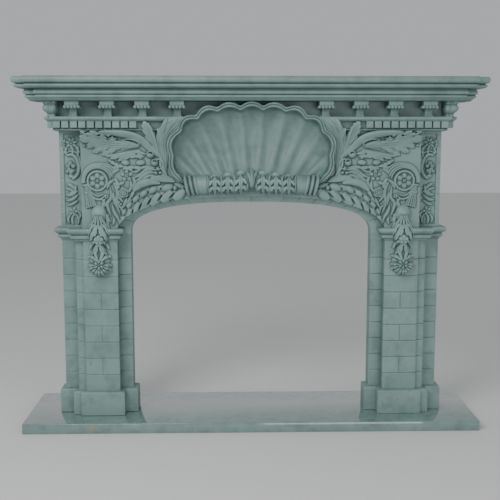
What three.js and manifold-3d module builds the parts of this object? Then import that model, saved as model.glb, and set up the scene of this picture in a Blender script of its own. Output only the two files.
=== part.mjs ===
// Carved marble fireplace mantel with a shell over the arch, standing on its hearth slab.
// Millimetres, +Z up, +X right, the front faces -Y. The origin is in the middle of the hearth's underside.
// A depth is a distance forward of the wall plane, which is the back of the whole surround.

import * as THREE from 'three';
import { mergeVertices } from 'three/addons/utils/BufferGeometryUtils.js';
import Module from 'manifold-3d';

const wasm = await Module();
wasm.setup();

// Joint left between two stones that touch.
const joint = 0.3;

// Hearth slab. The surround stands on it, with a strip of slab behind the wall plane.
const hearthWidth = 1822;
const hearthDepth = 425;
const hearthThick = 40;
const hearthBehind = 185;
const hearthArris = 2;

// Legs: four blocks side by side, from the opening outwards.
const openingHalf = 487;
const innerBlockWidth = 49;
const mainPanelWidth = 137;
const stepWidth = 32;
const outerBlockWidth = 60;
const blockDepth = 63;
const stepDepth = 101;
const mainDepth = 117;
const shaftHeight = 614;
const courseHeight = 67.3;
const courseCount = 9;
const grooveHalf = 1.6;
const grooveDepth = 1.6;

// Bases under the legs.
const baseHeight = 98;
const baseProjection = 20;
const baseBevel = 5;

// Impost mouldings at the top of the legs.
const impostHeight = 52;
const impostProjection = 27;

// Arch: a flattened curve from the inner blocks, with a plain band round it.
const springAbove = 24;
const archRise = 129.4;
const archPower = 2.6;
const bandAtCrown = 25;

// Header stone above the imposts, with its bead, dentils and ledge.
const fieldHeight = 385;
const beadHeight = 11;
const dentilHeight = 25;
const ledgeHeight = 19;
const lowerBreakWidth = 27;
const breakDepth = 36;
const dentilPitch = 32.9;
const dentilGap = 5.5;
const dentilCount = 10;
const dentilRelief = 14;
const bandCorePlan = { half: 760, depth: 133 };
const ledgeOverhang = 11;
const stripEdge = 15;
const stripSink = 8;

// Bracket frieze, bed moulding and shelf.
const friezeHeight = 58.5;
const friezeBoardDepth = 95;
const bracketCount = 4;
const bracketPitch = 135.3;
const bracketFirst = 290.5;
const bracketWidth = 56;
const bracketDepth = 166;
const cornerWidth = 44;
const bedHeight = 46.5;
const shelfHeight = 45;
const corniceLine = { half: 773, depth: 137 };
const upperBreakWidth = 46;

// Shell and torus over the arch.
const shellRimDepth = 172;
const shellRimWidth = 17;
const shellBowlDepth = 88;
const torusHalf = 262;
const torusRadius = 41;
const torusDepth = 113;
const torusHeight = 170;
const torusSag = 11;

// Places worked out from the sizes above.
const wallY = hearthDepth / 2 - hearthBehind;
const x0 = openingHalf;
const x1 = x0 + innerBlockWidth;
const x2 = x1 + mainPanelWidth;
const x3 = x2 + stepWidth;
const x4 = x3 + outerBlockWidth;
const zHearth = hearthThick;
const zBase = zHearth + joint;
const zShaft = zBase + baseHeight + joint;
const zImpost = zShaft + shaftHeight + joint;
const zHeader = zImpost + impostHeight + joint;
const zBead = zHeader + fieldHeight;
const zDentil = zBead + beadHeight;
const zLedge = zDentil + dentilHeight;
const zFrieze = zLedge + ledgeHeight + joint;
const zBed = zFrieze + friezeHeight + joint;
const zShelf = zBed + bedHeight + joint;
const zSpring = zShaft + shaftHeight + springAbove;

// The carving keeps its layout as shares of the header's own half width and height.
const nominalHalf = 673;
const nominalField = 385;
const nominalBottom = 804;
const carveX = (x) => x * x2 / nominalHalf;
const carveZ = (z) => zHeader + (z - nominalBottom) * fieldHeight / nominalField;

const marble = new THREE.Color(0x7a928b);

// A point from its place across, its depth in front of the wall plane and its height.
function at(x, depth, z) {
  return new THREE.Vector3(x, wallY - depth, z);
}

// Triangles of a flat cap. They turn the same way as the loop, or the other way.
function cap(corners, sameTurn) {
  const turn = Math.sign(THREE.ShapeUtils.area(corners));
  return THREE.ShapeUtils.triangulateShape(corners, []).map(([a, b, c]) => {
    const made = Math.sign(THREE.ShapeUtils.area([corners[a], corners[b], corners[c]]));
    return (made === turn) === sameTurn ? [a, b, c] : [c, b, a];
  });
}

// Closed skin through loops of equal length. flat() gives a point's place in the plane of the caps.
function loft(loops, flat) {
  const size = loops[0].length;
  const last = (loops.length - 1) * size;
  const index = [];
  for (let i = 0; i + 1 < loops.length; i += 1) {
    for (let j = 0; j < size; j += 1) {
      const a = i * size + j;
      const b = i * size + (j + 1) % size;
      index.push(a, b, b + size, a, b + size, a + size);
    }
  }
  index.push(...cap(loops[0].map(flat), false).flat());
  index.push(...cap(loops.at(-1).map(flat), true).flat().map((k) => k + last));
  const geometry = new THREE.BufferGeometry().setFromPoints(loops.flat());
  geometry.setIndex(index);
  return facingOut(geometry);
}

// Turns every triangle round if the skin encloses a negative volume.
function facingOut(geometry) {
  const place = geometry.attributes.position;
  const index = geometry.index.array;
  const corner = [new THREE.Vector3(), new THREE.Vector3(), new THREE.Vector3()];
  let volume = 0;
  for (let i = 0; i < index.length; i += 3) {
    corner.forEach((v, k) => v.fromBufferAttribute(place, index[i + k]));
    volume += corner[0].dot(corner[1].cross(corner[2]));
  }
  if (volume < 0) {
    for (let i = 0; i < index.length; i += 3) {
      [index[i], index[i + 1]] = [index[i + 1], index[i]];
    }
  }
  return geometry;
}

const inPlan = (v) => new THREE.Vector2(v.x, v.y);
const inFront = (v) => new THREE.Vector2(v.x, v.z);
const fromSide = (v) => new THREE.Vector2(v.y, v.z);

// Solid from plan outlines one above the other. Each ring is { z, plan: [[x, depth], ...] }.
function stack(rings) {
  return loft(rings.map(({ z, plan }) => plan.map(([x, depth]) => at(x, depth, z))), inPlan);
}

// Solid from one outline [[x, z], ...] seen from the front, between two depths.
function slab(outline, back, front) {
  return loft([back, front].map((depth) => outline.map(([x, z]) => at(x, depth, z))), inFront);
}

function block(xa, xb, back, front, za, zb) {
  return slab([[xa, za], [xb, za], [xb, zb], [xa, zb]], back, front);
}

function solid(geometry) {
  const bare = geometry.clone();
  bare.deleteAttribute('normal');
  bare.deleteAttribute('uv');
  const merged = mergeVertices(bare, 1e-4);
  const corners = merged.index.array;
  const kept = [];
  for (let i = 0; i < corners.length; i += 3) {
    const [a, b, c] = corners.slice(i, i + 3);
    if (a !== b && b !== c && c !== a) kept.push(a, b, c);
  }
  return new wasm.Manifold(new wasm.Mesh({
    numProp: 3,
    vertProperties: new Float32Array(merged.attributes.position.array),
    triVerts: new Uint32Array(kept),
  }));
}

function joined(geometries) {
  return geometries.map(solid).reduce((sum, next) => sum.add(next));
}

function geometryOf(manifold) {
  const mesh = manifold.getMesh();
  const geometry = new THREE.BufferGeometry();
  geometry.setAttribute('position', new THREE.BufferAttribute(mesh.vertProperties, mesh.numProp));
  geometry.setIndex(new THREE.BufferAttribute(mesh.triVerts, 1));
  return geometry;
}

// The same outline on the other side of the centre line.
const mirrored = (plan, side) => plan.map(([x, depth]) => [side * x, depth]);

const surround = new THREE.Group();

function addPiece(name, geometry) {
  geometry.computeVertexNormals();
  const finish = new THREE.MeshStandardMaterial({ color: marble, roughness: 0.55, metalness: 0 });
  const mesh = new THREE.Mesh(geometry, finish);
  mesh.name = name;
  surround.add(mesh);
}

// Hearth slab with a small arris all round.
function hearth() {
  const plan = (inset) => {
    const half = hearthWidth / 2 - inset;
    const back = -hearthBehind + inset;
    const front = hearthDepth - hearthBehind - inset;
    return [[-half, back], [-half, front], [half, front], [half, back]];
  };
  return stack([
    { z: 0, plan: plan(hearthArris) },
    { z: hearthArris, plan: plan(0) },
    { z: zHearth - hearthArris, plan: plan(0) },
    { z: zHearth, plan: plan(hearthArris) },
  ]);
}

// Plan of a leg, grown outwards by p.
function legPlan(p) {
  return [
    [x0 - p, 0], [x0 - p, blockDepth + p], [x1 - p, blockDepth + p], [x1 - p, mainDepth + p],
    [x2 + p, mainDepth + p], [x2 + p, stepDepth + p], [x3 + p, stepDepth + p],
    [x3 + p, blockDepth + p], [x4 + p, blockDepth + p], [x4 + p, 0],
  ];
}

function legBase(side) {
  const ring = (z, p) => ({ z, plan: mirrored(legPlan(p), side) });
  return stack([
    ring(zBase, baseProjection),
    ring(zBase + baseHeight - baseBevel, baseProjection),
    ring(zBase + baseHeight, baseProjection - baseBevel),
  ]);
}

// Shaft with a V groove at each bed joint and an upright joint in the middle of alternate courses.
function shaft(side) {
  const ring = (z, p) => ({ z, plan: mirrored(legPlan(p), side) });
  const top = zShaft + shaftHeight;
  const courses = Array.from({ length: courseCount }, (_, i) => zShaft + (i + 1) * courseHeight);
  const beds = courses.filter((z) => z < top - courseHeight / 3);
  const rings = beds.flatMap((z) => [
    ring(z - grooveHalf, 0), ring(z, -grooveDepth), ring(z + grooveHalf, 0),
  ]);
  const blocks = stack([ring(zShaft, 0), ...rings, ring(top, 0)]);
  const inner = block(side * x0, side * x1, 0, blockDepth, top - 1, zSpring - joint);
  const middle = side * (x1 + x2) / 2;
  const uprights = [1, 3, 5].map((course) => block(
    middle - grooveHalf / 2, middle + grooveHalf / 2, mainDepth - grooveDepth, mainDepth + 1,
    zShaft + course * courseHeight, zShaft + (course + 1) * courseHeight,
  ));
  return geometryOf(joined([blocks, inner]).subtract(joined(uprights)));
}

// Plan of the impost: it wraps the step and the main panel, and stops at the inner block.
function impostPlan(p, gap = 0) {
  return [
    [x1 + joint - gap, 0], [x1 + joint - gap, blockDepth + joint - gap],
    [x1 - p, blockDepth + joint - gap], [x1 - p, mainDepth + p],
    [x3 + p, mainDepth + p], [x3 + p, blockDepth + p], [x4 + p, blockDepth + p], [x4 + p, 0],
  ];
}

// Heights up the impost, as shares of its height, with how far each point stands out of the full projection.
const impostProfile = [
  [0, 0.1], [0.1, 0.14], [0.2, 0.34], [0.24, 0.52], [0.42, 0.54], [0.46, 0.44],
  [0.54, 0.56], [0.62, 0.82], [0.76, 0.98], [0.88, 1], [0.97, 0.94], [1, 0.84],
];

function impost(side, gap = 0) {
  return stack(impostProfile.map(([h, p], i) => {
    const end = i === 0 ? -gap : i === impostProfile.length - 1 ? gap : 0;
    const plan = impostPlan(p * impostProjection + gap, gap);
    return { z: zImpost + h * impostHeight + end, plan: mirrored(plan, side) };
  }));
}

// Breakfront plan: the middle stands forward of the two ends.
function breakfront(line, p, endWidth) {
  const { half, depth } = line;
  const main = half + p;
  const end = main + endWidth;
  return [
    [-end, 0], [-end, depth + p - breakDepth], [-main, depth + p - breakDepth], [-main, depth + p],
    [main, depth + p], [main, depth + p - breakDepth], [end, depth + p - breakDepth], [end, 0],
  ];
}

// Bed moulding: a small cove, a roll and a wider roll. Millimetres up, and out from the cornice line.
function bedMoulding() {
  const profile = [
    [0, 40], [3, 43], [8, 47], [11, 51], [13, 55], [17, 57], [21, 56], [23.5, 52],
    [26, 59], [29, 62], [37, 62], [40, 59], [bedHeight, 57],
  ];
  return stack(profile.map(([h, p]) => (
    { z: zBed + h, plan: breakfront(corniceLine, p, upperBreakWidth) }
  )));
}

// Shelf: a quarter round below and a rounded edge above, with a groove between.
function shelf() {
  const profile = [
    [0, 70], [2, 82], [6, 89], [11, 91], [15, 88], [17, 83], [19, 84], [20, 92],
    [24, 97], [32, 99], [40, 97], [shelfHeight, 92],
  ];
  return stack(profile.map(([h, p]) => (
    { z: zShelf + h, plan: breakfront(corniceLine, p, upperBreakWidth) }
  )));
}

function friezeBoard() {
  const half = corniceLine.half - cornerWidth / 3;
  return block(-half, half, 0, friezeBoardDepth, zFrieze, zFrieze + friezeHeight);
}

// Leaf with a ridge along it, on a ground whose depth is given by a function of place.
// from and to are [x, z], bend pushes the middle sideways, as a share of the length.
function leaf(ground, from, to, width, rise, { bend = 0, parts = 4, full = 0.45 } = {}) {
  const a = new THREE.Vector2(...from);
  const b = new THREE.Vector2(...to);
  const along = b.clone().sub(a);
  const across = new THREE.Vector2(-along.y, along.x);
  const middle = a.clone().add(b).multiplyScalar(0.5).addScaledVector(across, bend);
  const path = new THREE.QuadraticBezierCurve(a, middle, b);
  const loops = [];
  for (let i = 0; i <= parts; i += 1) {
    const t = i / parts;
    const pointed = i === 0 || i === parts;
    const grown = pointed ? 0 : Math.sin(Math.PI * t ** (Math.log(0.5) / Math.log(full)));
    const p = path.getPoint(t);
    const side = path.getTangent(t);
    side.set(-side.y, side.x).multiplyScalar(width / 2 * grown);
    const left = p.clone().add(side);
    const right = p.clone().sub(side);
    loops.push([
      at(left.x, ground(left.x, left.y) - 3, left.y),
      at(p.x, ground(p.x, p.y) + (pointed ? -3 : rise * Math.sqrt(grown)), p.y),
      at(right.x, ground(right.x, right.y) - 3, right.y),
    ]);
  }
  return loft(loops, Math.abs(along.x) > Math.abs(along.y) ? fromSide : (v) => new THREE.Vector2(v.x, v.y));
}

// Flower with pointed petals round a boss, or a plain bud if petals is 0.
function flower(ground, [x, z], radius, petals, rise, squash = 1) {
  const sides = petals ? petals * 2 : 6;
  const bed = ground(x, z);
  const ring = (share, depth) => Array.from({ length: sides }, (_, i) => {
    const angle = Math.PI * 2 * i / sides;
    const r = radius * share * (petals && i % 2 ? 0.72 : 1);
    const d = bed + (petals && i % 2 ? depth * 0.55 : depth);
    return at(x + r * Math.cos(angle), d, z + r * squash * Math.sin(angle));
  });
  const low = ring(1, 0).map((v) => v.clone().add(new THREE.Vector3(0, 3, 0)));
  const loops = radius > 21 && petals
    ? [low, ring(0.84, rise * 0.8), ring(0.3, rise)]
    : [low, ring(0.55, rise)];
  return loft(loops, inFront);
}

// Arch line over half the span, from the right spring to the left one.
function archLine(half, rise, steps = 20) {
  return Array.from({ length: steps + 1 }, (_, i) => {
    const angle = Math.PI * i / steps;
    const [c, s] = [Math.cos(angle), Math.sin(angle)];
    const reach = Math.sign(c) * Math.abs(c) ** (2 / archPower);
    return [half * reach, zSpring + rise * Math.abs(s) ** (2 / archPower)];
  });
}

// Crests and dents of the shell's rim, from the middle of its top to its right end.
const rimPlaces = [
  [0, 1301], [44, 1283], [90, 1300], [134, 1278], [172, 1289], [218, 1243],
  [269, 1239], [288, 1190], [334, 1139], [321, 1090], [330, 1047], [264, 984],
];

function rimLine() {
  const right = rimPlaces.map(([x, z]) => new THREE.Vector2(carveX(x), carveZ(z)));
  const left = right.slice(1).reverse().map((v) => new THREE.Vector2(-v.x, v.y));
  return new THREE.SplineCurve([...left, ...right]);
}

const shellColumns = (rimPlaces.length - 1) * 4;

// Foot of a shell rib, on the line where the bowl comes out behind the torus.
function shellFoot(i) {
  const q = 2 * i / shellColumns - 1;
  return new THREE.Vector2(carveX(250) * q, zHeader + torusHeight + 28 - 15 * q * q);
}

// Hollow shell: a rim that stands forward, a fluted bowl behind it, and a flat back inside the stone.
function shell() {
  const rim = rimLine();
  const back = shellBowlDepth - 10;
  const loops = [];
  for (let i = 0; i <= shellColumns; i += 1) {
    const p = rim.getPoint(i / shellColumns);
    const q = shellFoot(i);
    const length = p.distanceTo(q);
    const toFoot = q.clone().sub(p).divideScalar(length);
    const off = Math.abs(2 * i / shellColumns - 1);
    const lip = shellRimDepth - 26 * off ** 2;
    const width = Math.min(shellRimWidth, length * 0.3);
    const start = width + Math.min(4, length * 0.1);
    const rib = Math.cos(Math.PI * i / 2);
    const point = (distance, depth) => {
      const v = p.clone().addScaledVector(toFoot, distance);
      return at(v.x, depth, v.y);
    };
    const bowl = (f) => {
      const floor = THREE.MathUtils.lerp(lip - 22, mainDepth - 4, f);
      const sag = (floor - shellBowlDepth) * Math.min(1, length / 230);
      return point(start + (length - start) * f, floor - (sag - 5 * rib) * Math.sin(Math.PI * f) ** 0.8);
    };
    loops.push([
      point(0, back), point(0, lip), point(width, lip), bowl(0), bowl(0.4),
      point(length, mainDepth - 4), point(length, back),
    ]);
  }
  return loft(loops, (v) => new THREE.Vector2(v.z, v.y));
}

// Room in the header for the shell, a little inside the rim's outline.
function shellHollow() {
  const rim = rimLine();
  const middle = new THREE.Vector2(0, carveZ(1080));
  const outline = [];
  for (let i = 0; i <= shellColumns; i += 1) {
    const p = rim.getPoint(i / shellColumns).lerp(middle, 0.03);
    outline.push([p.x, p.y]);
  }
  for (let i = shellColumns - 3; i > 2; i -= 4) {
    const q = shellFoot(i);
    outline.push([q.x, q.y + 6]);
  }
  return slab(outline, shellBowlDepth - 9, shellRimDepth + 20);
}

const torusMiddle = (x) => zHeader + torusHeight - 3 + torusSag * (1 - (x / torusHalf) ** 2);

// Torus over the arch: a fat roll with three rings at each end.
function torus() {
  const ends = [[0, 0.84], [4, 1], [11, 0.98], [14, 0.84], [18, 1], [25, 0.84], [29, 1], [38, 0.9]];
  const right = ends.map(([inset, share]) => [torusHalf - inset, share]);
  const left = right.map(([x, share]) => [-x, share]);
  const stations = [...left, [-110, 1.03], [0, 1.07], [110, 1.03], ...right.reverse()];
  const sides = 6;
  const loops = stations.map(([x, share]) => Array.from({ length: sides + 1 }, (_, i) => {
    const angle = Math.PI * (i / sides - 0.5) * 1.24;
    const r = torusRadius * share;
    return at(x, torusDepth + r * Math.cos(angle), torusMiddle(x) + r * Math.sin(angle));
  }));
  return loft(loops, fromSide);
}

const onField = () => mainDepth;
const onStrip = () => blockDepth - stripSink;
const onBand = (x, z) => (z < zBead - 4 ? mainDepth : z < zLedge - 2 ? 140 : 156);
const onTorus = (x, z) => {
  const r = torusRadius * (1.07 - 0.04 * Math.abs(x) / 110);
  return torusDepth + Math.sqrt(Math.max(0, r ** 2 - (z - torusMiddle(x)) ** 2));
};

// Leaves of the right half: [from x, z], [to x, z], width, rise, bend.
const spandrelLeaves = [
  // Stem of the big leaf: root, bend and its two arms.
  [[348, 1066], [420, 1144], 24, 13, 0.04], [[400, 1128], [490, 1182], 22, 13, 0.1],
  [[470, 1178], [575, 1186], 15, 9, 0.06], [[424, 1126], [520, 1104], 24, 11, 0.08],
  // Big leaf: middle, upper lobes and lower lobes.
  [[462, 1142], [676, 1158], 24, 12, 0.02], [[596, 1158], [664, 1184], 16, 9, 0],
  [[560, 1160], [634, 1180], 16, 9, 0], [[520, 1160], [598, 1174], 16, 9, 0],
  [[486, 1150], [560, 1172], 15, 9, 0], [[598, 1146], [656, 1134], 17, 9, 0],
  [[566, 1144], [636, 1117], 20, 10, 0], [[530, 1140], [608, 1100], 22, 10, 0],
  [[500, 1128], [572, 1092], 20, 9, 0],
  // Leaf round the buds.
  [[420, 1100], [512, 1086], 16, 9, 0.05], [[480, 1092], [560, 1076], 16, 9, 0],
  [[500, 1056], [560, 1060], 16, 8, 0], [[425, 1052], [512, 1050], 14, 9, -0.06],
  // Streams from the lowest scroll to the flower.
  [[376, 1034], [466, 1000], 22, 11, 0.12],
  // Smooth leaves over the arch.
  [[346, 1000], [468, 966], 40, 14, 0.08], [[392, 986], [470, 950], 22, 10, 0.1],
  // Drops of leaf below and beside the flowers.
  [[464, 992], [494, 908], 13, 9, 0.1], [[534, 980], [508, 912], 12, 9, -0.12],
  [[556, 990], [548, 902], 13, 9, -0.12], [[546, 902], [512, 836], 14, 9, 0.12],
  [[576, 930], [556, 850], 12, 9, 0.1],
  // Bow at the end of the torus.
  [[268, 962], [306, 970], 22, 9, 0],
];

// Two tall leaves beside the shell, laid over the dentil band.
const tallLeaves = [
  [[352, 1082], [428, 1228], 30, 12, -0.06], [[378, 1138], [430, 1174], 15, 9, 0],
  [[388, 1164], [436, 1200], 15, 9, 0], [[380, 1140], [392, 1210], 15, 9, 0.06],
  [[346, 1092], [318, 1240], 32, 13, 0.08], [[350, 1130], [372, 1196], 14, 9, -0.06],
  [[340, 1160], [346, 1238], 18, 9, 0], [[326, 1186], [292, 1236], 16, 9, 0],
];

// Carving of the sunk strip at the outer edge.
const stripLeaves = [
  [[722, 1108], [688, 1064], 13, 9, -0.16], [[690, 1062], [712, 1004], 14, 9, -0.14],
  [[742, 1112], [744, 1004], 10, 7, 0], [[744, 934], [694, 972], 20, 10, 0.1],
  [[738, 906], [694, 938], 19, 10, 0.1], [[742, 990], [700, 1000], 14, 8, 0],
  [[722, 850], [712, 814], 22, 8, 0],
];

// Leaves along the arch, each turned with the curve: [x, z] of its middle.
const archLeaves = [[306, 938], [352, 932], [396, 917], [434, 900], [468, 878], [495, 851], [514, 824]];

// Buds: place, radius and how flat each is. The scrolls' eyes have a place and a radius, and
// the flowers a place, a radius and a count of petals.
const buds = [
  [342, 967, 20, 0.7], [399, 961, 16, 0.8], [434, 941, 13, 0.8], [438, 1066, 18, 0.7], [497, 1066, 16, 0.7],
];
const volutes = [[399, 1100, 15], [384, 1066, 14], [371, 1040, 11], [360, 1026, 6]];
const flowers = [[493, 1015, 22, 5], [507, 947, 20, 5], [527, 900, 13, 5]];
const stripFlowers = [[716, 1142, 28, 6], [726, 1045, 22, 5], [735, 990, 10, 0], [715, 868, 20, 5]];

const roundelPlace = [609, 994];
const hoodSteps = 5;

// Carving that the left and the right half share, on one side of the centre line.
function spandrel(side) {
  const place = ([x, z]) => [side * carveX(x), carveZ(z)];
  const spray = (ground, list) => list.map(([from, to, width, rise, bend]) => leaf(
    ground, place(from), place(to), width, rise, { bend: side * bend, parts: width > 23 ? 3 : 2 },
  ));
  const dots = (ground, list, rise) => list.map(([x, z, r, petals]) => (
    flower(ground, place([x, z]), r, petals, rise)
  ));
  const parts = [
    ...spray(onField, spandrelLeaves), ...spray(onBand, tallLeaves), ...spray(onStrip, stripLeaves),
    ...dots(onField, flowers, 16), ...dots(onStrip, stripFlowers, 12),
    ...buds.map(([x, z, r, squash]) => flower(onField, place([x, z]), r, 0, 15, squash)),
    ...volutes.map(([x, z, r]) => flower(onField, place([x, z]), r, 0, 18)),
  ];
  archLeaves.forEach(([x, z], i) => {
    const steep = 0.1 + i * 0.13;
    const from = [x - 26 * Math.cos(steep), z + 26 * Math.sin(steep) - 12];
    const to = [x + 24 * Math.cos(steep), z - 24 * Math.sin(steep) + 12];
    parts.push(leaf(onField, place(to), place(from), 30, 15, { bend: side * 0.12, parts: 2, full: 0.6 }));
  });
  return [...parts, ...roundel(side, place)];
}

// Disc with six petals in a ring, a fluted hood over it and a fluted tassel hanging from the hood.
function roundel(side, place) {
  const [x, z] = place(roundelPlace);
  const disc = new THREE.LatheGeometry([[0, -4], [43, -4], [40, 9], [34, 3], [0, 3]]
    .map(([r, h]) => new THREE.Vector2(r, h)), 12);
  disc.translate(x, -(wallY - mainDepth), -z);
  disc.rotateX(Math.PI);
  const ring = disc.index ? disc : mergeVertices(disc);
  const middle = flower(() => mainDepth + 3, [x, z], 29, 6, 7);
  const hood = [[56, 13], [76, 15]].map(([r, width], i) => {
    const from = Math.PI * (1.06 - 0.03 * i);
    const to = Math.PI * (0.06 + 0.07 * i);
    const loops = [];
    for (let k = 0; k <= hoodSteps; k += 1) {
      const angle = from + (to - from) * k / hoodSteps;
      const reach = (r - 8) + (8 + i * 2) * k / hoodSteps;
      const spot = (q, d) => at(x - side * q * Math.cos(angle), d, z + q * Math.sin(angle));
      loops.push([
        spot(reach - width / 2, mainDepth - 3),
        spot(reach, mainDepth + 11 - i),
        spot(reach + width / 2, mainDepth - 3),
      ]);
    }
    return loft(loops, (v) => new THREE.Vector2(v.x + v.z * 0.3, v.y));
  });
  const flutes = [0, 1, 2].map((k) => leaf(
    onField, [x + side * (50 - k * 12), z - 24], [x + side * (38 - k * 14), z - 104 + k * 4],
    15, 10, { parts: 2, full: 0.6 },
  ));
  const bar = leaf(
    onField, [x + side * 62, z - 18], [x + side * 22, z - 24], 12, 10, { parts: 2, full: 0.5 },
  );
  return [facingOut(ring), middle, ...hood, ...flutes, bar];
}

// Leaves wrapped over the torus, with a palmette in the middle.
function torusLeaves() {
  const low = (x) => torusMiddle(x) - torusRadius * 0.8;
  const leaves = [-1, 1].flatMap((side) => [40, 92, 148].flatMap((x) => [-15, 0, 15].map((off) => leaf(
    onTorus, [side * x + off * 0.3, low(x)], [side * x + off * 1.3, torusMiddle(x) + (off ? 16 : 28)],
    off ? 13 : 20, 8, { parts: off ? 2 : 3, full: 0.6 },
  ))));
  const palmette = [-15, 0, 15].map((off) => leaf(
    onTorus, [off * 0.2, low(0)], [off, torusMiddle(0) + (off ? 34 : 40)], 14, 8, { parts: 3, full: 0.7 },
  ));
  return [...leaves, ...palmette];
}

function dentils() {
  const { half, depth } = bandCorePlan;
  const front = depth + dentilRelief;
  const start = half + dentilRelief - 1;
  const solids = [-1, 1].flatMap((side) => Array.from({ length: dentilCount }, (_, i) => {
    const outer = start - i * dentilPitch;
    const inner = outer - dentilPitch + dentilGap;
    return block(side * outer, side * inner, depth - 2, front, zDentil - 1, zLedge + 2);
  }));
  const end = half + lowerBreakWidth + dentilRelief;
  const returns = [-1, 1].flatMap((side) => [0, 1, 2].map((i) => {
    const deep = front - breakDepth - i * dentilPitch;
    const inner = i ? end - dentilRelief - 2 : start + dentilGap;
    return block(side * inner, side * end, deep - dentilPitch + dentilGap, deep, zDentil - 1, zLedge + 2);
  }));
  return [...solids, ...returns];
}

// Bead, core of the dentil band and ledge, in one run with breaks at its ends.
function lowerCornice() {
  const profile = [
    [zBead - 2, -16], [zBead, -8], [zBead + 4, -3], [zBead + 8, -3], [zDentil - 1, -6], [zDentil - 1, 0],
    [zLedge + 2, 0], [zLedge + 2, 15], [zLedge + 6, 20], [zLedge + 8, 24], [zLedge + ledgeHeight - 2, 25],
    [zLedge + ledgeHeight, 22],
  ];
  return stack(profile.map(([z, p]) => ({ z, plan: breakfront(bandCorePlan, p, lowerBreakWidth) })));
}

function header() {
  const field = block(-x2, x2, 0, mainDepth, zHeader, zBead + 1);
  const wings = [-1, 1].map((side) => block(side * (x2 - 1), side * x4, 0, blockDepth, zHeader, zBead + 1));
  const springers = [-1, 1].map((side) => block(side * x0, side * x1, 0, blockDepth, zSpring, zHeader + 1));
  const sinks = [-1, 1].map((side) => block(
    side * (x2 + 0.01), side * (x4 - stripEdge), blockDepth - stripSink, blockDepth + 1,
    zHeader + stripEdge / 2, zBead - 10,
  ));
  const below = zSpring - 60;
  const opening = slab([...archLine(x0, archRise), [-x0, below], [x0, below]], -5, mainDepth + 60);
  const bandLine = archLine(x1, archRise + bandAtCrown);
  const band = slab([...bandLine, [-x1, below], [x1, below]], blockDepth, mainDepth + 60);
  const stone = joined([field, ...wings, lowerCornice(), ...dentils()])
    .subtract(joined([...sinks, band, shellHollow()]))
    .subtract(solid(opening))
    .add(joined(springers));
  const carving = joined([shell(), torus(), ...torusLeaves(), ...spandrel(-1), ...spandrel(1)]);
  const behindShell = block(
    -x4 - 60, x4 + 60, -5, friezeBoardDepth + 3, zLedge + ledgeHeight, zBed + bedHeight,
  );
  return geometryOf(stone.add(carving).subtract(solid(behindShell)));
}

// Half widths and depths of a pendant's body at heights below its top, on the header's front plane.
const pendantBody = [
  [0, 6, 4], [10, 20, 16], [26, 28, 24], [60, 25, 18], [88, 45, 26], [110, 50, 32], [132, 46, 34],
  [162, 32, 26], [188, 34, 22], [218, 48, 26], [246, 48, 26], [270, 36, 20], [286, 10, 8],
];
const pendantPlace = [606, 897];

// Leaves of a pendant, from its top middle: [from across, down], [to across, down], width, rise.
const pendantLeaves = [
  [[-4, 66], [-42, 126], 18, 8], [[4, 66], [42, 126], 18, 8], [[0, 72], [0, 130], 26, 9],
  [[-14, 140], [-42, 176], 16, 7], [[14, 140], [42, 176], 16, 7],
  [[0, 152], [0, 214], 22, 7],
  [[-6, 206], [-46, 236], 16, 7], [[6, 206], [46, 236], 16, 7], [[-10, 226], [-36, 276], 18, 7],
  [[10, 226], [36, 276], 18, 7], [[0, 242], [0, 286], 18, 7],
];

// Drop carved in the round that hangs over the header, the impost and the shaft, cut to fit round the impost.
function pendant(side) {
  const [x, top] = [side * carveX(pendantPlace[0]), carveZ(pendantPlace[1])];
  const back = mainDepth + joint;
  const body = loft(pendantBody.map(([down, half, rise]) => Array.from({ length: 5 }, (_, i) => {
    const angle = Math.PI * i / 4;
    return at(x - half * Math.cos(angle), back + 4 + rise * Math.sin(angle), top - down);
  }).concat([at(x + half, back, top - down), at(x - half, back, top - down)])), inPlan);
  const ground = (px, pz) => {
    const down = THREE.MathUtils.clamp(top - pz, 0, pendantBody.at(-1)[0]);
    const k = Math.max(1, pendantBody.findIndex(([d]) => d >= down));
    const [da, ha, ra] = pendantBody[k - 1];
    const [db, hb, rb] = pendantBody[k];
    const t = (down - da) / (db - da);
    const share = Math.min(1, Math.abs(px - x) / THREE.MathUtils.lerp(ha, hb, t));
    return back + 4 + THREE.MathUtils.lerp(ra, rb, t) * Math.sqrt(1 - share ** 2);
  };
  const leaves = pendantLeaves.map(([from, to, width, rise]) => leaf(
    ground, [x + from[0], top - from[1]], [x + to[0], top - to[1]], width, rise, { parts: 2, full: 0.62 },
  ));
  const heads = [[137, 19], [238, 15]].map(([down, r]) => flower(ground, [x, top - down], r, 5, 10));
  const behind = block(x - 80, x + 80, -5, back, top - 400, top + 50);
  return geometryOf(joined([body, ...leaves, ...heads]).subtract(joined([impost(side, joint), behind])));
}

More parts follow.
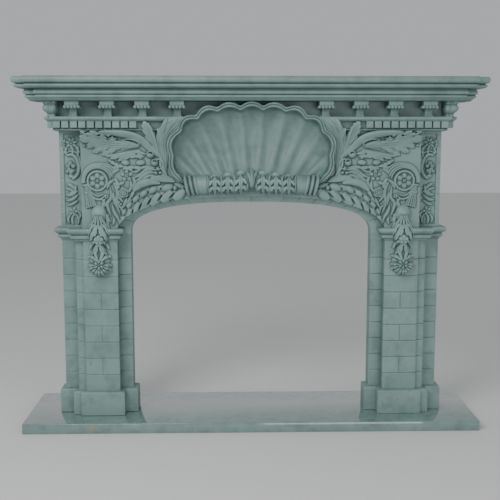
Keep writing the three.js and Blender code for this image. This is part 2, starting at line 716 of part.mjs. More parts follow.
// Scroll bracket under the bed moulding: a fluted block, a roll of five beads and a stem with a flared foot.
function bracket(x) {
  const back = friezeBoardDepth + joint;
  const top = zFrieze + friezeHeight;
  const roll = top - 14;
  const side = [
    [back, zFrieze], [back + 44, zFrieze], [back + 35, zFrieze + 10],
    [back + 37, roll - 16], [bracketDepth - 10, roll - 12], [bracketDepth - 10, roll], [back, roll],
  ];
  const half = (z) => (z < zFrieze + 4 ? 0.3 : z < roll - 12 ? 0.25 : 0.42) * bracketWidth;
  const stem = loft([-1, 1].map((s) => side.map(([d, z]) => at(x + s * half(z), d, z))), fromSide);
  const flutes = 2;
  const pitch = bracketWidth / flutes;
  const head = stack([roll - 0.5, top].map((z) => ({
    z,
    plan: [[x - bracketWidth / 2, back],
      ...Array.from({ length: flutes * 2 + 1 }, (_, i) => [
        x - bracketWidth / 2 + i * pitch / 2, bracketDepth - (i % 2 ? 0 : 5),
      ]),
      [x + bracketWidth / 2, back]],
  })));
  const beads = 5;
  const reach = bracketWidth * 0.6;
  const rings = Array.from({ length: beads * 2 - 1 }, (_, i) => {
    const r = i % 2 ? 5.5 : 9;
    return Array.from({ length: 4 }, (__, k) => {
      const angle = Math.PI * (k - 1) * 0.5;
      const off = i * reach / (beads - 1) - reach;
      return at(x + off, bracketDepth - 9 + r * Math.cos(angle), roll - 8 + r * Math.sin(angle));
    });
  });
  return geometryOf(joined([stem, head, loft(rings, fromSide)]));
}

// Bulging console at each corner of the frieze, with two lobes in front and one at the side.
function cornerBracket(side) {
  const inner = corniceLine.half - cornerWidth / 3 + joint;
  const outer = inner + cornerWidth;
  const front = bracketDepth - 14;
  const profile = [
    [0, -0.3], [0.15, -0.42], [0.24, -0.1], [0.4, 0.7], [0.58, 1], [0.79, 0.5], [0.84, 0.9], [1, 0.9],
  ];
  return stack(profile.map(([h, p]) => {
    const swell = 16 * p;
    const dip = p > 0 ? 5 * p : 0;
    const middle = (inner + outer) / 2;
    const plan = [
      [inner, 0], [inner, friezeBoardDepth + joint],
      [inner - swell * 0.25, friezeBoardDepth + joint + 6], [inner + 3 - swell * 0.2, front - 12 + swell],
      [inner + 10, front - 6 + swell], [middle, front - 9 + swell - dip],
      [outer - 10, front - 6 + swell], [outer - 3 + swell * 0.6, front - 12 + swell],
      [outer + swell * 0.8, front - 34],
      [outer - 4 + swell * 0.6, front - 44], [outer - 4 + swell * 0.6, 0],
    ];
    return { z: zFrieze + h * friezeHeight, plan: mirrored(plan, side) };
  }));
}

addPiece('hearth_slab', hearth());
addPiece('base_left', legBase(-1));
addPiece('base_right', legBase(1));
addPiece('leg_left', shaft(-1));
addPiece('leg_right', shaft(1));
addPiece('impost_left', impost(-1));
addPiece('impost_right', impost(1));
addPiece('header', header());
addPiece('pendant_left', pendant(-1));
addPiece('pendant_right', pendant(1));
addPiece('frieze_board', friezeBoard());
for (const [name, side] of [['left', -1], ['right', 1]]) {
  for (let i = 0; i < bracketCount; i += 1) {
    addPiece(`bracket_${name}_${i + 1}`, bracket(side * (bracketFirst + i * bracketPitch)));
  }
  addPiece(`corner_bracket_${name}`, cornerBracket(side));
}
addPiece('bed_moulding', bedMoulding());
addPiece('shelf', shelf());

export default surround;
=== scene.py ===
"""Carved marble fireplace mantel: fine carving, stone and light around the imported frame."""
import math

import bpy
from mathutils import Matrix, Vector
import numpy as np


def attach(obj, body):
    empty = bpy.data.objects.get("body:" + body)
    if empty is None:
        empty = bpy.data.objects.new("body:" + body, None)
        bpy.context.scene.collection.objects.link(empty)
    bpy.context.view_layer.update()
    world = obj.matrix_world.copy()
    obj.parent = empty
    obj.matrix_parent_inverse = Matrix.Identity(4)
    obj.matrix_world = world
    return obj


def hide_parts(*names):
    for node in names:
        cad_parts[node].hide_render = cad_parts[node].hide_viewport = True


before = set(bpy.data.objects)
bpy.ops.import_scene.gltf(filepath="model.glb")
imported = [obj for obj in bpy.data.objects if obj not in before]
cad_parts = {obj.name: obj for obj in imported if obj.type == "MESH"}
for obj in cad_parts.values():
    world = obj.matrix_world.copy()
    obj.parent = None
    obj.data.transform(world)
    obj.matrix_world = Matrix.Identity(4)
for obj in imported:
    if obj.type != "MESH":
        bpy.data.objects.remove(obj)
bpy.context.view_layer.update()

rng = np.random.default_rng(11)

# Sizes of the stones, in millimetres. Depths are forward of the wall plane, heights above the hearth's foot.
wall = 27.5
x0, x1, x2, x3, x4 = 487.0, 536.0, 673.0, 705.0, 765.0
block_depth, step_depth, main_depth = 63.0, 101.0, 117.0
z_hearth, z_base, z_shaft = 40.0, 40.3, 138.6
shaft_height, course = 614.0, 67.3
z_impost, impost_height = 752.9, 52.0
z_header, z_bead, z_dentil, z_ledge = 805.2, 1190.2, 1201.2, 1226.2
z_ledge_top, z_frieze, frieze_height = 1245.2, 1245.5, 58.5
z_bed, z_shelf = 1304.3, 1351.1
z_spring, arch_rise, arch_power, band_at_crown = 776.6, 129.4, 2.6, 25.0
cell = 1.7
run_half, run_depth, end_length, end_back = 773.0, 137.0, 46.0, 36.0
board_depth, console_width, joint_gap = 95.0, 44.0, 0.3
dentil_half, dentil_depth, dentil_pitch, dentil_width = 774.0, 147.0, 32.9, 27.4
roll_half, roll_radius, roll_depth = 262.0, 41.0, 113.0
drop_x, drop_height = 606.0, 286.0
lobe_steps = 36


def place(x, d, z):
    """Metres in the part's frame from millimetres across, forward of the wall and up."""
    x, d, z = np.broadcast_arrays(x, d, z)
    return np.stack([x, wall - d, z], -1) / 1000


def smooth(a, b, x):
    t = np.clip((x - a) / (b - a), 0, 1)
    return t * t * (3 - 2 * t)


# Meshes

def make(name, node, parts, material, smooth_angle=40):
    """One object from parts of (points, faces, cavity per point, tone per face). The cavity becomes painted
    shade and painted highlight in the stone.
    """
    points, faces, cavity, tone, start = [], [], [], [], 0
    for p, f, c, t in parts:
        points.append(p.reshape(-1, 3))
        faces += [[i + start for i in face] for face in (f.tolist() if hasattr(f, "tolist") else f)]
        cavity.append(np.broadcast_to(np.ravel(c), len(points[-1])))
        tone.append(np.broadcast_to(np.ravel(t), len(f)))
        start += len(points[-1])
    mesh = bpy.data.meshes.new(name)
    mesh.from_pydata(np.concatenate(points).tolist(), [], faces)
    corners = np.zeros(len(mesh.loops), int)
    mesh.loops.foreach_get("vertex_index", corners)
    sizes = np.zeros(len(mesh.polygons), int)
    mesh.polygons.foreach_get("loop_total", sizes)
    # Red holds the cavity, painted as shade in hollows and highlight on crests; green holds the tone per
    # face.
    colour = np.ones((len(corners), 4), np.float32)
    colour[:, 0] = np.concatenate(cavity)[corners]
    colour[:, 1] = np.repeat(np.concatenate(tone), sizes)
    layer = mesh.color_attributes.new("painted_light_and_tone", "FLOAT_COLOR", "CORNER")
    layer.data.foreach_set("color", colour.ravel())
    mesh.polygons.foreach_set("use_smooth", np.ones(len(sizes), bool))
    mesh.set_sharp_from_angle(angle=math.radians(smooth_angle))
    mesh.validate()
    piece = bpy.data.objects.new(name, mesh)
    bpy.context.scene.collection.objects.link(piece)
    mesh.materials.append(material)
    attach(piece, "root")
    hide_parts(node)


def quads(rows, cols, closed=False, flip=False):
    """Faces of a grid of points, with its columns joined round if closed."""
    i = np.arange(rows * cols).reshape(rows, cols)
    if closed:
        i = np.concatenate([i, i[:, :1]], 1)
    f = np.stack([i[:-1, :-1], i[:-1, 1:], i[1:, 1:], i[1:, :-1]], -1).reshape(-1, 4)
    return f[:, ::-1] if flip else f


def turned(points, faces):
    """Faces turned outwards, for a closed skin."""
    p = points.reshape(-1, 3)
    volume = 0.0
    for f in faces:
        a = p[f[0]]
        for j in range(1, len(f) - 1):
            volume += np.dot(a, np.cross(p[f[j]], p[f[j + 1]]))
    return faces if volume > 0 else [list(f)[::-1] for f in faces]


def tube(loops, cavity=0.5, tone=0.5):
    """Closed skin through loops of equal length, each an array of points in metres."""
    points = np.array(loops)
    rows, cols = points.shape[:2]
    faces = quads(rows, cols, closed=True).tolist()
    faces.append(list(range(cols))[::-1])
    faces.append(list(range((rows - 1) * cols, rows * cols)))
    return points, turned(points, faces), cavity, tone


def mirror(part):
    points, faces, cavity, tone = part
    points = points.copy()
    points[..., 0] *= -1
    flipped = faces[:, ::-1] if hasattr(faces, "tolist") else [list(f)[::-1] for f in faces]
    return points, flipped, cavity, tone


def rounded(line, radius, steps=2, keep=()):
    """Plan line with its corners rounded by radius. keep lists corners that stay sharp."""
    out = []
    n = len(line)
    for i, p in enumerate(line):
        if i in keep:
            out.append(p)
            continue
        p = np.array(p, float)
        a, b = np.array(line[i - 1], float), np.array(line[(i + 1) % n], float)
        ra = min(radius, np.linalg.norm(a - p) * 0.4)
        rb = min(radius, np.linalg.norm(b - p) * 0.4)
        ta, tb = p + (a - p) / np.linalg.norm(a - p) * ra, p + (b - p) / np.linalg.norm(b - p) * rb
        for k in range(steps + 1):
            t = k / steps
            out.append((1 - t) ** 2 * ta + 2 * t * (1 - t) * p + t * t * tb)
    return np.array(out, float)


def ring(plan, z):
    plan = np.asarray(plan, float)
    return place(plan[:, 0], plan[:, 1], z)


def spline(points, steps):
    """Smooth line through points, with steps points between each two."""
    p = np.array(points, float)
    p = np.vstack([2 * p[0] - p[1], p, 2 * p[-1] - p[-2]])
    t = np.linspace(0, 1, steps, endpoint=False)[:, None]
    out = []
    for a, b, c, d in zip(p, p[1:], p[2:], p[3:]):
        square, cube = 2 * a - 5 * b + 4 * c - d, 3 * b - a - 3 * c + d
        out.append(0.5 * (2 * b + (c - a) * t + square * t ** 2 + cube * t ** 3))
    out.append(p[-2:-1])
    return np.concatenate(out)


# Carving on a field of heights

def nearest(line, px, pz):
    """Place along a line as a share of its length, and signed distance from it."""
    a, d = line[:-1], np.diff(line, axis=0)
    length = np.maximum(np.hypot(d[:, 0], d[:, 1]), 1e-6)
    cum = np.concatenate([[0], np.cumsum(length)])
    x, z = px[..., None] - a[:, 0], pz[..., None] - a[:, 1]
    t = (x * d[:, 0] + z * d[:, 1]) / length ** 2
    first, last = t[..., :1], t[..., -1:]
    t = np.clip(t, 0, 1)
    ex, ez = x - t * d[:, 0], z - t * d[:, 1]
    k = np.argmin(ex ** 2 + ez ** 2, -1)[..., None]

    def take(v):
        return np.take_along_axis(v, k, -1)[..., 0]

    side = np.sign(d[k[..., 0], 0] * take(z) - d[k[..., 0], 1] * take(x))
    s = (cum[k[..., 0]] + take(t) * length[k[..., 0]]) / cum[-1]
    over = np.maximum(-first[..., 0] * length[0], (last[..., 0] - 1) * length[-1])
    return s, np.hypot(take(ex), take(ez)) * np.where(side == 0, 1, side), cum[-1], over


def around(centre, reach, angle):
    """Spot at a distance and an angle from a centre."""
    return centre[0] + reach * math.cos(angle), centre[1] + reach * math.sin(angle)


class Field:
    """Grid of heights above the ground, with the distance inside the nearest edge of the carving."""

    def __init__(self, xa, xb, za, zb, step=cell):
        self.xs = np.arange(xa, xb + step, step)
        self.zs = np.arange(za, zb + step, step)
        self.x, self.z = np.meshgrid(self.xs, self.zs)
        self.h = np.zeros_like(self.x)
        self.edge = np.full_like(self.x, -99.0)
        self.step = step

    def window(self, points, margin):
        p = np.array(points, float)
        i0, i1 = np.searchsorted(self.xs, [p[:, 0].min() - margin, p[:, 0].max() + margin])
        j0, j1 = np.searchsorted(self.zs, [p[:, 1].min() - margin, p[:, 1].max() + margin])
        return np.s_[max(j0, 0):j1, max(i0, 0):i1]

    def polar(self, centre, reach):
        """Window round a centre, and the distance and the angle of its points from there."""
        w = self.window([centre], reach)
        dx, dz = self.x[w] - centre[0], self.z[w] - centre[1]
        return w, np.hypot(dx, dz), np.arctan2(dz, dx)

    def oval(self, centre, rx, rz, angle):
        """Window round a turned oval, and how far its points lie across it and from its centre."""
        w = self.window([centre], max(rx, rz) + 3)
        c, s = math.cos(angle), math.sin(angle)
        dx, dz = self.x[w] - centre[0], self.z[w] - centre[1]
        b = (-dx * s + dz * c) / rz
        return w, b, np.hypot((dx * c + dz * s) / rx, b)

    def along(self, points, steps, width):
        """Window round a smooth line, and what nearest says of its points."""
        line = spline(points, steps)
        w = self.window(line, width)
        return w, *nearest(line, self.x[w], self.z[w])

    def put(self, w, h, edge):
        """Lays a form over what is there: the higher one shows."""
        self.h[w] = np.maximum(self.h[w], np.where(edge > 0, h, 0))
        self.edge[w] = np.maximum(self.edge[w], edge)

    def cut(self, w, depth):
        self.h[w] = np.maximum(self.h[w] - depth, 0)

    def leaf(self, points, width, rise, lobes=0, bite=0.35, slant=0.9, full=0.45, rib=0.2, veins=0.12,
             fold=0.25, blunt=0.5, base=0.0, strands=0):
        """Leaf along a line: lobed edges, a groove down the middle, and veins to the lobes or strands."""
        w, s, n, length, over = self.along(points, 6, width)
        grown = np.sin(np.pi * np.clip(s, 0, 1) ** (math.log(0.5) / math.log(full))) ** blunt
        grown = np.where(s < full, np.maximum(grown, base), grown)
        half = np.maximum(width / 2 * grown, 0.1)
        u = np.abs(n) / half
        scallop = 0
        if lobes:
            phase = lobes * (s - slant * np.abs(n) / length)
            t = phase - np.floor(phase)
            scallop = bite * (1 - np.clip(np.sin(np.pi * t) * 1.7, 0, 1)) * smooth(0.02, 0.12, s)
            crease = np.exp(-(np.minimum(t, 1 - t) / 0.11) ** 2) * smooth(0.3, 0.95, u)
        inside = half * (1 - scallop) - np.abs(n) - np.maximum(over, 0) * 2
        v = np.clip(1 - inside / half, 0, 1)
        dome = np.sqrt(np.clip(1 - v ** 2.6, 0, 1))
        h = rise * dome * (0.82 + 0.18 * np.sin(np.pi * np.clip(s, 0, 1)))
        h = h * (1 - fold * np.exp(-(u / 0.22) ** 2)) + rise * rib * np.exp(-(u / 0.09) ** 2) * (s < 0.95)
        if lobes:
            h = h - rise * (veins * 2.2) * crease
            swell = np.cos(2 * np.pi * (t - 0.5)) * smooth(0.15, 0.6, u) * smooth(1.1, 0.8, u)
            h = h + rise * veins * 0.6 * swell
        if strands:
            h = h * (1 - 0.2 * (0.5 - 0.5 * np.cos(2 * np.pi * strands * u)) * smooth(1.0, 0.75, u))
        self.put(w, np.maximum(h, 0.2), inside)

    def leaves(self, rise, table, **form):
        """Leaves of one form, one for each row (width, x, z, x, z, ...) of a table."""
        for width, *spots in table:
            self.leaf(list(zip(spots[::2], spots[1::2])), width, rise, **form)

    def bud(self, centre, rx, rz, rise, angle=0.0, hole=None, seam=0.0):
        """Smooth round or oval swelling, with a drilled hole or a seam if asked."""
        w, b, r = self.oval(centre, rx, rz, angle)
        h = rise * np.sqrt(np.clip(1 - r ** 2, 0, 1)) ** 0.8
        if seam:
            h -= seam * np.exp(-(b / 0.14) ** 2) * smooth(1.0, 0.6, r)
        self.put(w, h, (1 - r) * min(rx, rz))
        if hole:
            hx, hz, hr, deep = hole
            q = np.hypot(self.x[w] - hx, self.z[w] - hz) / hr
            self.cut(w, deep * smooth(1.15, 0.6, q))

    def slot(self, centre, length, width, angle, deep):
        """Drilled crevice: an oval hole with soft edges, lying at angle."""
        w, _, q = self.oval(centre, length, width, angle)
        self.cut(w, deep * smooth(1.25, 0.45, q))

    def scroll(self, centre, radius, rise, turn=0.0):
        """Curled leaf end: a ball with a hooked crevice cut into it."""
        self.bud(centre, radius, radius, rise)
        for k in range(7):
            a = turn + k * 0.36
            spot = around(centre, radius * 0.42, a)
            self.slot(spot, radius * 0.2, radius * 0.16, a, rise * (0.3 + 0.03 * k))

    def blossom(self, centre, radius, petals, rise, turn=0.3):
        """Flower of round petals set apart on a low cup, round a drilled boss."""
        self.bud(centre, radius * 0.98, radius * 0.98, rise * 0.42)
        for k in range(petals):
            a = turn + 2 * math.pi * k / petals
            spot = around(centre, radius * 0.62, a)
            self.bud(spot, radius * 0.40, min(radius * 0.36, radius * 1.8 / petals), rise, angle=a)
        self.bud(centre, radius * 0.27, radius * 0.27, rise * 1.02, hole=(*centre, radius * 0.12, rise * 0.5))

    def rose(self, centre, radius, rise, turn=0.0):
        """Half-open rose: five-sided outer petals round a coiled heart."""
        w, r, t = self.polar(centre, radius + 3)
        out = radius * (0.92 + 0.08 * np.cos(5 * (t - turn)))
        coil = np.exp(-((r / out - 0.58 - 0.05 * np.sin(t * 2 + 1)) / 0.09) ** 2)
        h = rise * np.sqrt(np.clip(1 - (r / out) ** 5, 0, 1)) * (0.75 + 0.25 * smooth(1, 0.3, r / out))
        h -= rise * 0.4 * coil
        self.put(w, np.maximum(h, 0.2), out - r)
        self.bud(centre, radius * 0.2, radius * 0.2, rise * 1.05)
        self.cut(w, rise * 0.35 * np.exp(-((r / out - 0.27) / 0.06) ** 2))

    def flower(self, centre, radius, petals, rise, turn=0.3, cup=0.35, boss=0.24):
        """Open flower: petals cupped towards the edge, cut apart, round a drilled boss."""
        w, r, t = self.polar(centre, radius + 3)
        wave = np.cos(petals * (t - turn))
        out = radius * (0.80 + 0.20 * wave)
        v = r / out
        dome = np.sqrt(np.clip(1 - v ** 5, 0, 1))
        h = rise * 0.62 * (1 - cup + cup * np.sin(np.pi * np.clip(v, 0, 1) ** 1.4)) * dome
        h -= rise * 0.34 * np.exp(-((1 - wave) / 2 - 1) ** 2 / 0.02) * smooth(0.2, 0.45, v)
        h -= rise * 0.12 * np.exp(-((1 + wave) / 2 - 1) ** 2 / 0.004) * smooth(0.25, 0.5, v)
        self.put(w, np.maximum(h, 0.2), out - r)
        b = r / (radius * boss)
        dome = np.sqrt(np.clip(1 - b ** 2, 0, 1)) ** 0.6
        self.put(w, rise * dome, np.where(b < 1, (1 - b) * radius * boss, -99))
        self.cut(w, rise * 0.5 * smooth(0.5, 0.25, b) + rise * 0.28 * np.exp(-((b - 1.15) / 0.16) ** 2))

    def cord(self, points, width, rise, groove=0.0):
        """Plain rounded strand along a line, with a groove down it if asked."""
        w, s, n, _, over = self.along(points, 8, width)
        half = width / 2 * (0.35 + 0.65 * np.sqrt(np.clip(np.sin(np.pi * np.clip(s, 0, 1)), 0, 1)))
        inside = half - np.abs(n) - np.maximum(over, 0) * 2
        v = np.clip(1 - inside / half, 0, 1)
        h = rise * np.sqrt(np.clip(1 - v ** 2, 0, 1)) - groove * np.exp(-(np.abs(n) / half / 0.25) ** 2)
        self.put(w, np.maximum(h, 0.1), inside)


def blurred(a, cells):
    """Gaussian blur. The values at the borders carry on outwards."""
    m = int(cells * 3) + 1
    p = np.pad(a, m, mode="edge")
    fz, fx = np.fft.fftfreq(p.shape[0]), np.fft.rfftfreq(p.shape[1])
    k = np.exp(-2 * (np.pi * cells) ** 2 * (fz[:, None] ** 2 + fx[None] ** 2))
    return np.fft.irfft2(np.fft.rfft2(p) * k, p.shape)[m:-m, m:-m]


def hollows(depth, step):
    """How far each point lies below its surroundings: 0.5 level, 1 in a deep cut, 0 on a crest. It sets the
    painted shade in cuts and the painted highlight on crests.
    """
    near, far = blurred(depth, 2.2 / step) - depth, blurred(depth, 7 / step) - depth
    return np.clip(0.5 + near * 0.16 + far * 0.055, 0, 1)


def skin(x, z, depth, phi, foot, step, tone=0.5):
    """Front skin of a field where phi > 0, cut along phi = 0, with walls back to the depth foot."""
    rows, cols = x.shape
    gz, gx = np.gradient(phi, step)
    g2 = gx ** 2 + gz ** 2 + 1e-6
    out = phi < 0
    mx, mz = np.where(out, phi / g2 * gx, 0), np.where(out, phi / g2 * gz, 0)
    far = np.maximum(np.hypot(mx, mz) / (1.5 * step), 1)
    nx, nz = x - mx / far, z - mz / far
    fi, fj = np.clip((nx - x[0, 0]) / step, 0, cols - 1.001), np.clip((nz - z[0, 0]) / step, 0, rows - 1.001)
    i, j = fi.astype(int), fj.astype(int)
    a, b = fi - i, fj - j
    d = (depth[j, i] * (1 - a) * (1 - b) + depth[j, i + 1] * a * (1 - b)
         + depth[j + 1, i] * (1 - a) * b + depth[j + 1, i + 1] * a * b)
    d = np.where(out, d, depth)
    cav = hollows(depth, step)
    f = quads(rows, cols)
    f = f[(phi.ravel()[f] > 0).any(1)]
    used, back = np.unique(f, return_inverse=True)
    f = back.reshape(f.shape)
    px, pz, pd, pc = nx.ravel()[used], nz.ravel()[used], d.ravel()[used], cav.ravel()[used]
    edges = np.concatenate([f[:, [0, 1]], f[:, [1, 2]], f[:, [2, 3]], f[:, [3, 0]]])
    key = np.sort(edges, 1)
    _, first, count = np.unique(key[:, 0] * len(used) + key[:, 1], return_index=True, return_counts=True)
    rim = edges[first[count == 1]]
    low, where = np.unique(rim, return_inverse=True)
    where = where.reshape(rim.shape) + len(used)
    walls = np.stack([rim[:, 1], rim[:, 0], where[:, 0], where[:, 1]], -1)
    feet = foot(px[low], pz[low]) if callable(foot) else np.full(len(low), float(foot))
    points = np.concatenate([place(px, pd, pz), place(px[low], np.minimum(feet, pd[low]), pz[low])])
    # The cut walls get a cavity of 0.75: painted shade on them.
    cavity = np.concatenate([pc, np.full(len(low), 0.75)])
    return points, np.concatenate([f, walls]), cavity, tone


def arch_inside(x, z, half, rise):
    """Distance above the arch line, outside the opening."""
    p = arch_power
    up = np.maximum(z - z_spring, 0)
    a, b = np.abs(x) / half, up / rise
    value = (a ** p + b ** p) ** (1 / p) - 1
    slope = np.hypot(a ** (p - 1) / half, b ** (p - 1) / rise)
    slope = slope / np.maximum(a ** p + b ** p, 1e-6) ** (1 - 1 / p)
    return value / np.maximum(slope, 1e-6)


# Lobes of the shell's rim, from the middle of its top to its right end: the place of a cusp in the drawing,
# then how far the lobe before it swells. The first lobe lies across the middle.
rim_cusps = [(-44, 1282, 0), (44, 1282, 21), (134, 1277, 20), (216, 1246, 24), (287, 1193, 27),
             (321, 1092, 27), (262, 985, 30)]


def z_of(z):
    """Height from a height in the drawing of the carving, in which the header starts at 804."""
    return z_header + (z - 804)


def rim_line(cusps, steps=lobe_steps):
    """Half of the rim, lobe by lobe, each a round swelling between two soft cusps."""
    out = []
    for (xa, za, _), (xb, zb, swell) in zip(cusps, cusps[1:]):
        share = np.linspace(0, 1, steps, endpoint=False)
        a, b = np.array([xa, z_of(za)]), np.array([xb, z_of(zb)])
        along = (b - a) / np.hypot(*(b - a))
        up = np.array([-along[1], along[0]])
        out.append(a + np.outer(share, b - a) + np.outer(swell * np.sin(np.pi * share) ** 0.75, up))
    out.append([b])
    return np.concatenate(out)


def eased(line, count):
    """Line with its corners eased over count points to either side."""
    k = np.hanning(2 * count + 1)
    wide = np.concatenate([2 * line[0] - line[count:0:-1], line, 2 * line[-1] - line[-2:-count - 2:-1]])
    return np.stack([np.convolve(wide[:, i], k / k.sum(), "valid") for i in (0, 1)], -1)


rim_right = rim_line(rim_cusps)[lobe_steps // 2:]
rim = eased(np.concatenate([rim_right[:0:-1] * (-1, 1), rim_right]), 6)


def shell_foot(q):
    """Foot of the shell at q, from -1 at its left end to 1 at its right end."""
    return np.stack([250 * q, z_header + 198 - 15 * q * q], -1)


def inside_loop(loop, x, z):
    """Signed distance inside a closed loop."""
    a, b = loop, np.roll(loop, -1, 0)
    within = np.zeros(x.shape, bool)
    best = np.full(x.shape, 1e9)
    for (ax, az), (bx, bz) in zip(a, b):
        dx, dz = bx - ax, bz - az
        t = np.clip(((x - ax) * dx + (z - az) * dz) / (dx * dx + dz * dz + 1e-9), 0, 1)
        best = np.minimum(best, (x - ax - t * dx) ** 2 + (z - az - t * dz) ** 2)
        cross = (az > z) != (bz > z)
        within ^= cross & (x < (bx - ax) * (z - az) / (bz - az + 1e-12) + ax)
    return np.where(within, 1, -1) * np.sqrt(best)


# Stone

def marble(name, light, dark, recess, rough, coat=0.0):
    """Grey-green marble: soft clouds, fine grain, faint veins, painted shade in the cuts and painted
    highlight on crests and edges.
    """
    m = bpy.data.materials.new(name)
    m.use_nodes = True
    nt = m.node_tree
    shader = nt.nodes["Principled BSDF"]
    new, link = nt.nodes.new, nt.links.new

    def noise(scale, detail):
        n = new("ShaderNodeTexNoise")
        n.inputs["Scale"].default_value = scale
        n.inputs["Detail"].default_value = detail
        link(coords.outputs["Object"], n.inputs["Vector"])
        return n.outputs["Fac"]

    def mix(fac, a, b, blend="MIX"):
        n = new("ShaderNodeMix")
        n.data_type = "RGBA"
        n.blend_type = blend
        for socket, value in ((n.inputs[0], fac), (n.inputs[6], a), (n.inputs[7], b)):
            if isinstance(value, bpy.types.NodeSocket):
                link(value, socket)
            else:
                socket.default_value = value if np.ndim(value) == 0 else (*value, 1)
        return n.outputs[2]

    def remap(value, a, b, c, d):
        n = new("ShaderNodeMapRange")
        link(value, n.inputs[0])
        for i, v in enumerate((a, b, c, d)):
            n.inputs[i + 1].default_value = v
        return n.outputs[0]

    def shade(colour, factor):
        return tuple(min(1, c * factor) for c in colour)

    coords = new("ShaderNodeTexCoord")
    painted_light_and_tone = new("ShaderNodeAttribute")
    painted_light_and_tone.attribute_name = "painted_light_and_tone"
    split = new("ShaderNodeSeparateColor")
    link(painted_light_and_tone.outputs["Color"], split.inputs[0])
    cloud, patch, grain = noise(5.5, 6), noise(26, 7), noise(420, 3)
    base = mix(remap(cloud, 0.32, 0.68, 0, 1), light, dark)
    base = mix(remap(patch, 0.42, 0.72, 0, 0.42), base, shade(light, 1.16))
    base = mix(remap(patch, 0.5, 0.28, 0, 0.5), base, shade(dark, 0.82))
    base = mix(remap(grain, 0.3, 0.7, 0, 0.16), base, shade(dark, 0.7))
    base = mix(remap(noise(9, 9), 0.485, 0.5, 0, 0.22), base, shade(light, 1.2))
    tone = remap(split.outputs[1], 0, 1, 0.82, 1.18)
    grey = new("ShaderNodeCombineColor")
    for i in range(3):
        link(tone, grey.inputs[i])
    base = mix(1.0, base, grey.outputs[0], "MULTIPLY")
    # Painted shade: the recess colour laid into hollows where the cavity is high.
    base = mix(remap(split.outputs[0], 0.55, 1.0, 0, 0.72), base, recess)
    # Painted highlight: a lighter colour laid on crests and edges where the cavity is low.
    base = mix(remap(split.outputs[0], 0.46, 0.12, 0, 0.36), base, shade(light, 1.45))
    base = mix(remap(noise(61, 2), 0.69, 0.78, 0, 0.4), base, recess)
    stain = new("ShaderNodeVectorMath")
    stain.operation = "DISTANCE"
    link(coords.outputs["Object"], stain.inputs[0])
    stain.inputs[1].default_value = (-0.632, -0.2125, 0.024)
    base = mix(remap(stain.outputs["Value"], 0.026, 0.004, 0, 0.5), base, (0.30, 0.23, 0.19))
    link(base, shader.inputs["Base Color"])
    link(remap(patch, 0.3, 0.7, rough - 0.07, rough + 0.09), shader.inputs["Roughness"])
    shader.inputs["Coat Weight"].default_value = coat
    shader.inputs["Coat Roughness"].default_value = 0.04
    bump = new("ShaderNodeBump")
    bump.inputs["Strength"].default_value = 0.03 if coat else 0.22
    bump.inputs["Distance"].default_value = 0.0008
    link(noise(230, 5), bump.inputs["Height"])
    link(bump.outputs["Normal"], shader.inputs["Normal"])
    return m


honed = marble("honed_marble", (0.180, 0.278, 0.260), (0.130, 0.211, 0.196), (0.024, 0.046, 0.044), 0.5)
polished = marble("polished_marble", (0.175, 0.27, 0.25), (0.12, 0.195, 0.18), (0.03, 0.05, 0.045), 0.08, 1.0)

# Plain stones: hearth, bases, shafts, imposts, shelf

def ringed(plan_at, profile, radius, cavity, keep):
    """Stone from a plan grown by p at each height of a profile [(z, p), ...]."""
    loops = [ring(rounded(plan_at(p), radius, keep=keep), z) for z, p in profile]
    return tube(loops, np.repeat(cavity, len(loops[0])))


def leg_plan(p):
    return [(x0 - p, 0), (x0 - p, block_depth + p), (x1 - p, block_depth + p), (x1 - p, main_depth + p),
            (x2 + p, main_depth + p), (x2 + p, step_depth + p), (x3 + p, step_depth + p),
            (x3 + p, block_depth + p), (x4 + p, block_depth + p), (x4 + p, 0)]


def hearth_plan(inset):
    x, near, far = 911 - inset, 240 - inset, inset - 185
    return [(-x, far), (-x, near), (x, near), (x, far)]


hearth_profile = [(0, 2), (0.6, 0.7), (2, 0), (38, 0), (39.3, 0.6), (z_hearth, 2)]
hearth = tube([ring(rounded(hearth_plan(inset), 3), z) for z, inset in hearth_profile])
make("hearth", "hearth_slab", [hearth], polished)

base_profile = [(z_base + h, p) for h, p in ((0, 19), (1, 20), (92, 20), (94, 19.3), (97, 16.2), (98, 14.6))]
# The cavity list paints each profile row: painted shade in hollows and under overhangs, painted highlight on
# the rounds.
base_part = ringed(leg_plan, base_profile, 2.5, [0.8, 0.5, 0.5, 0.42, 0.4, 0.6], (0, 9))


def shaft_line(middle):
    """Plan line of the shaft with points close enough for its joints, and its outward normals."""
    plan = rounded(leg_plan(0), 1.6, 2, keep=(0, 9))
    line, normal = [], []
    for a, b in zip(plan, plan[1:]):
        t = b - a
        length = np.hypot(*t)
        cuts = [0.0]
        if length > 20:
            cuts += list(np.linspace(0, 1, int(length / 14) + 1)[1:-1])
        if abs(a[1] - main_depth) < 0.1 and abs(b[1] - main_depth) < 0.1 and length > 100:
            mid = (middle - a[0]) / (b[0] - a[0])
            cuts += [mid + k / length for k in (-2.4, -1.2, 0, 1.2, 2.4)]
        for c in sorted(cuts):
            line.append(a + t * c)
            normal.append(np.array([-t[1], t[0]]) / length)
    line.append(plan[-1])
    normal.append(normal[-1])
    return np.array(line), np.array(normal)


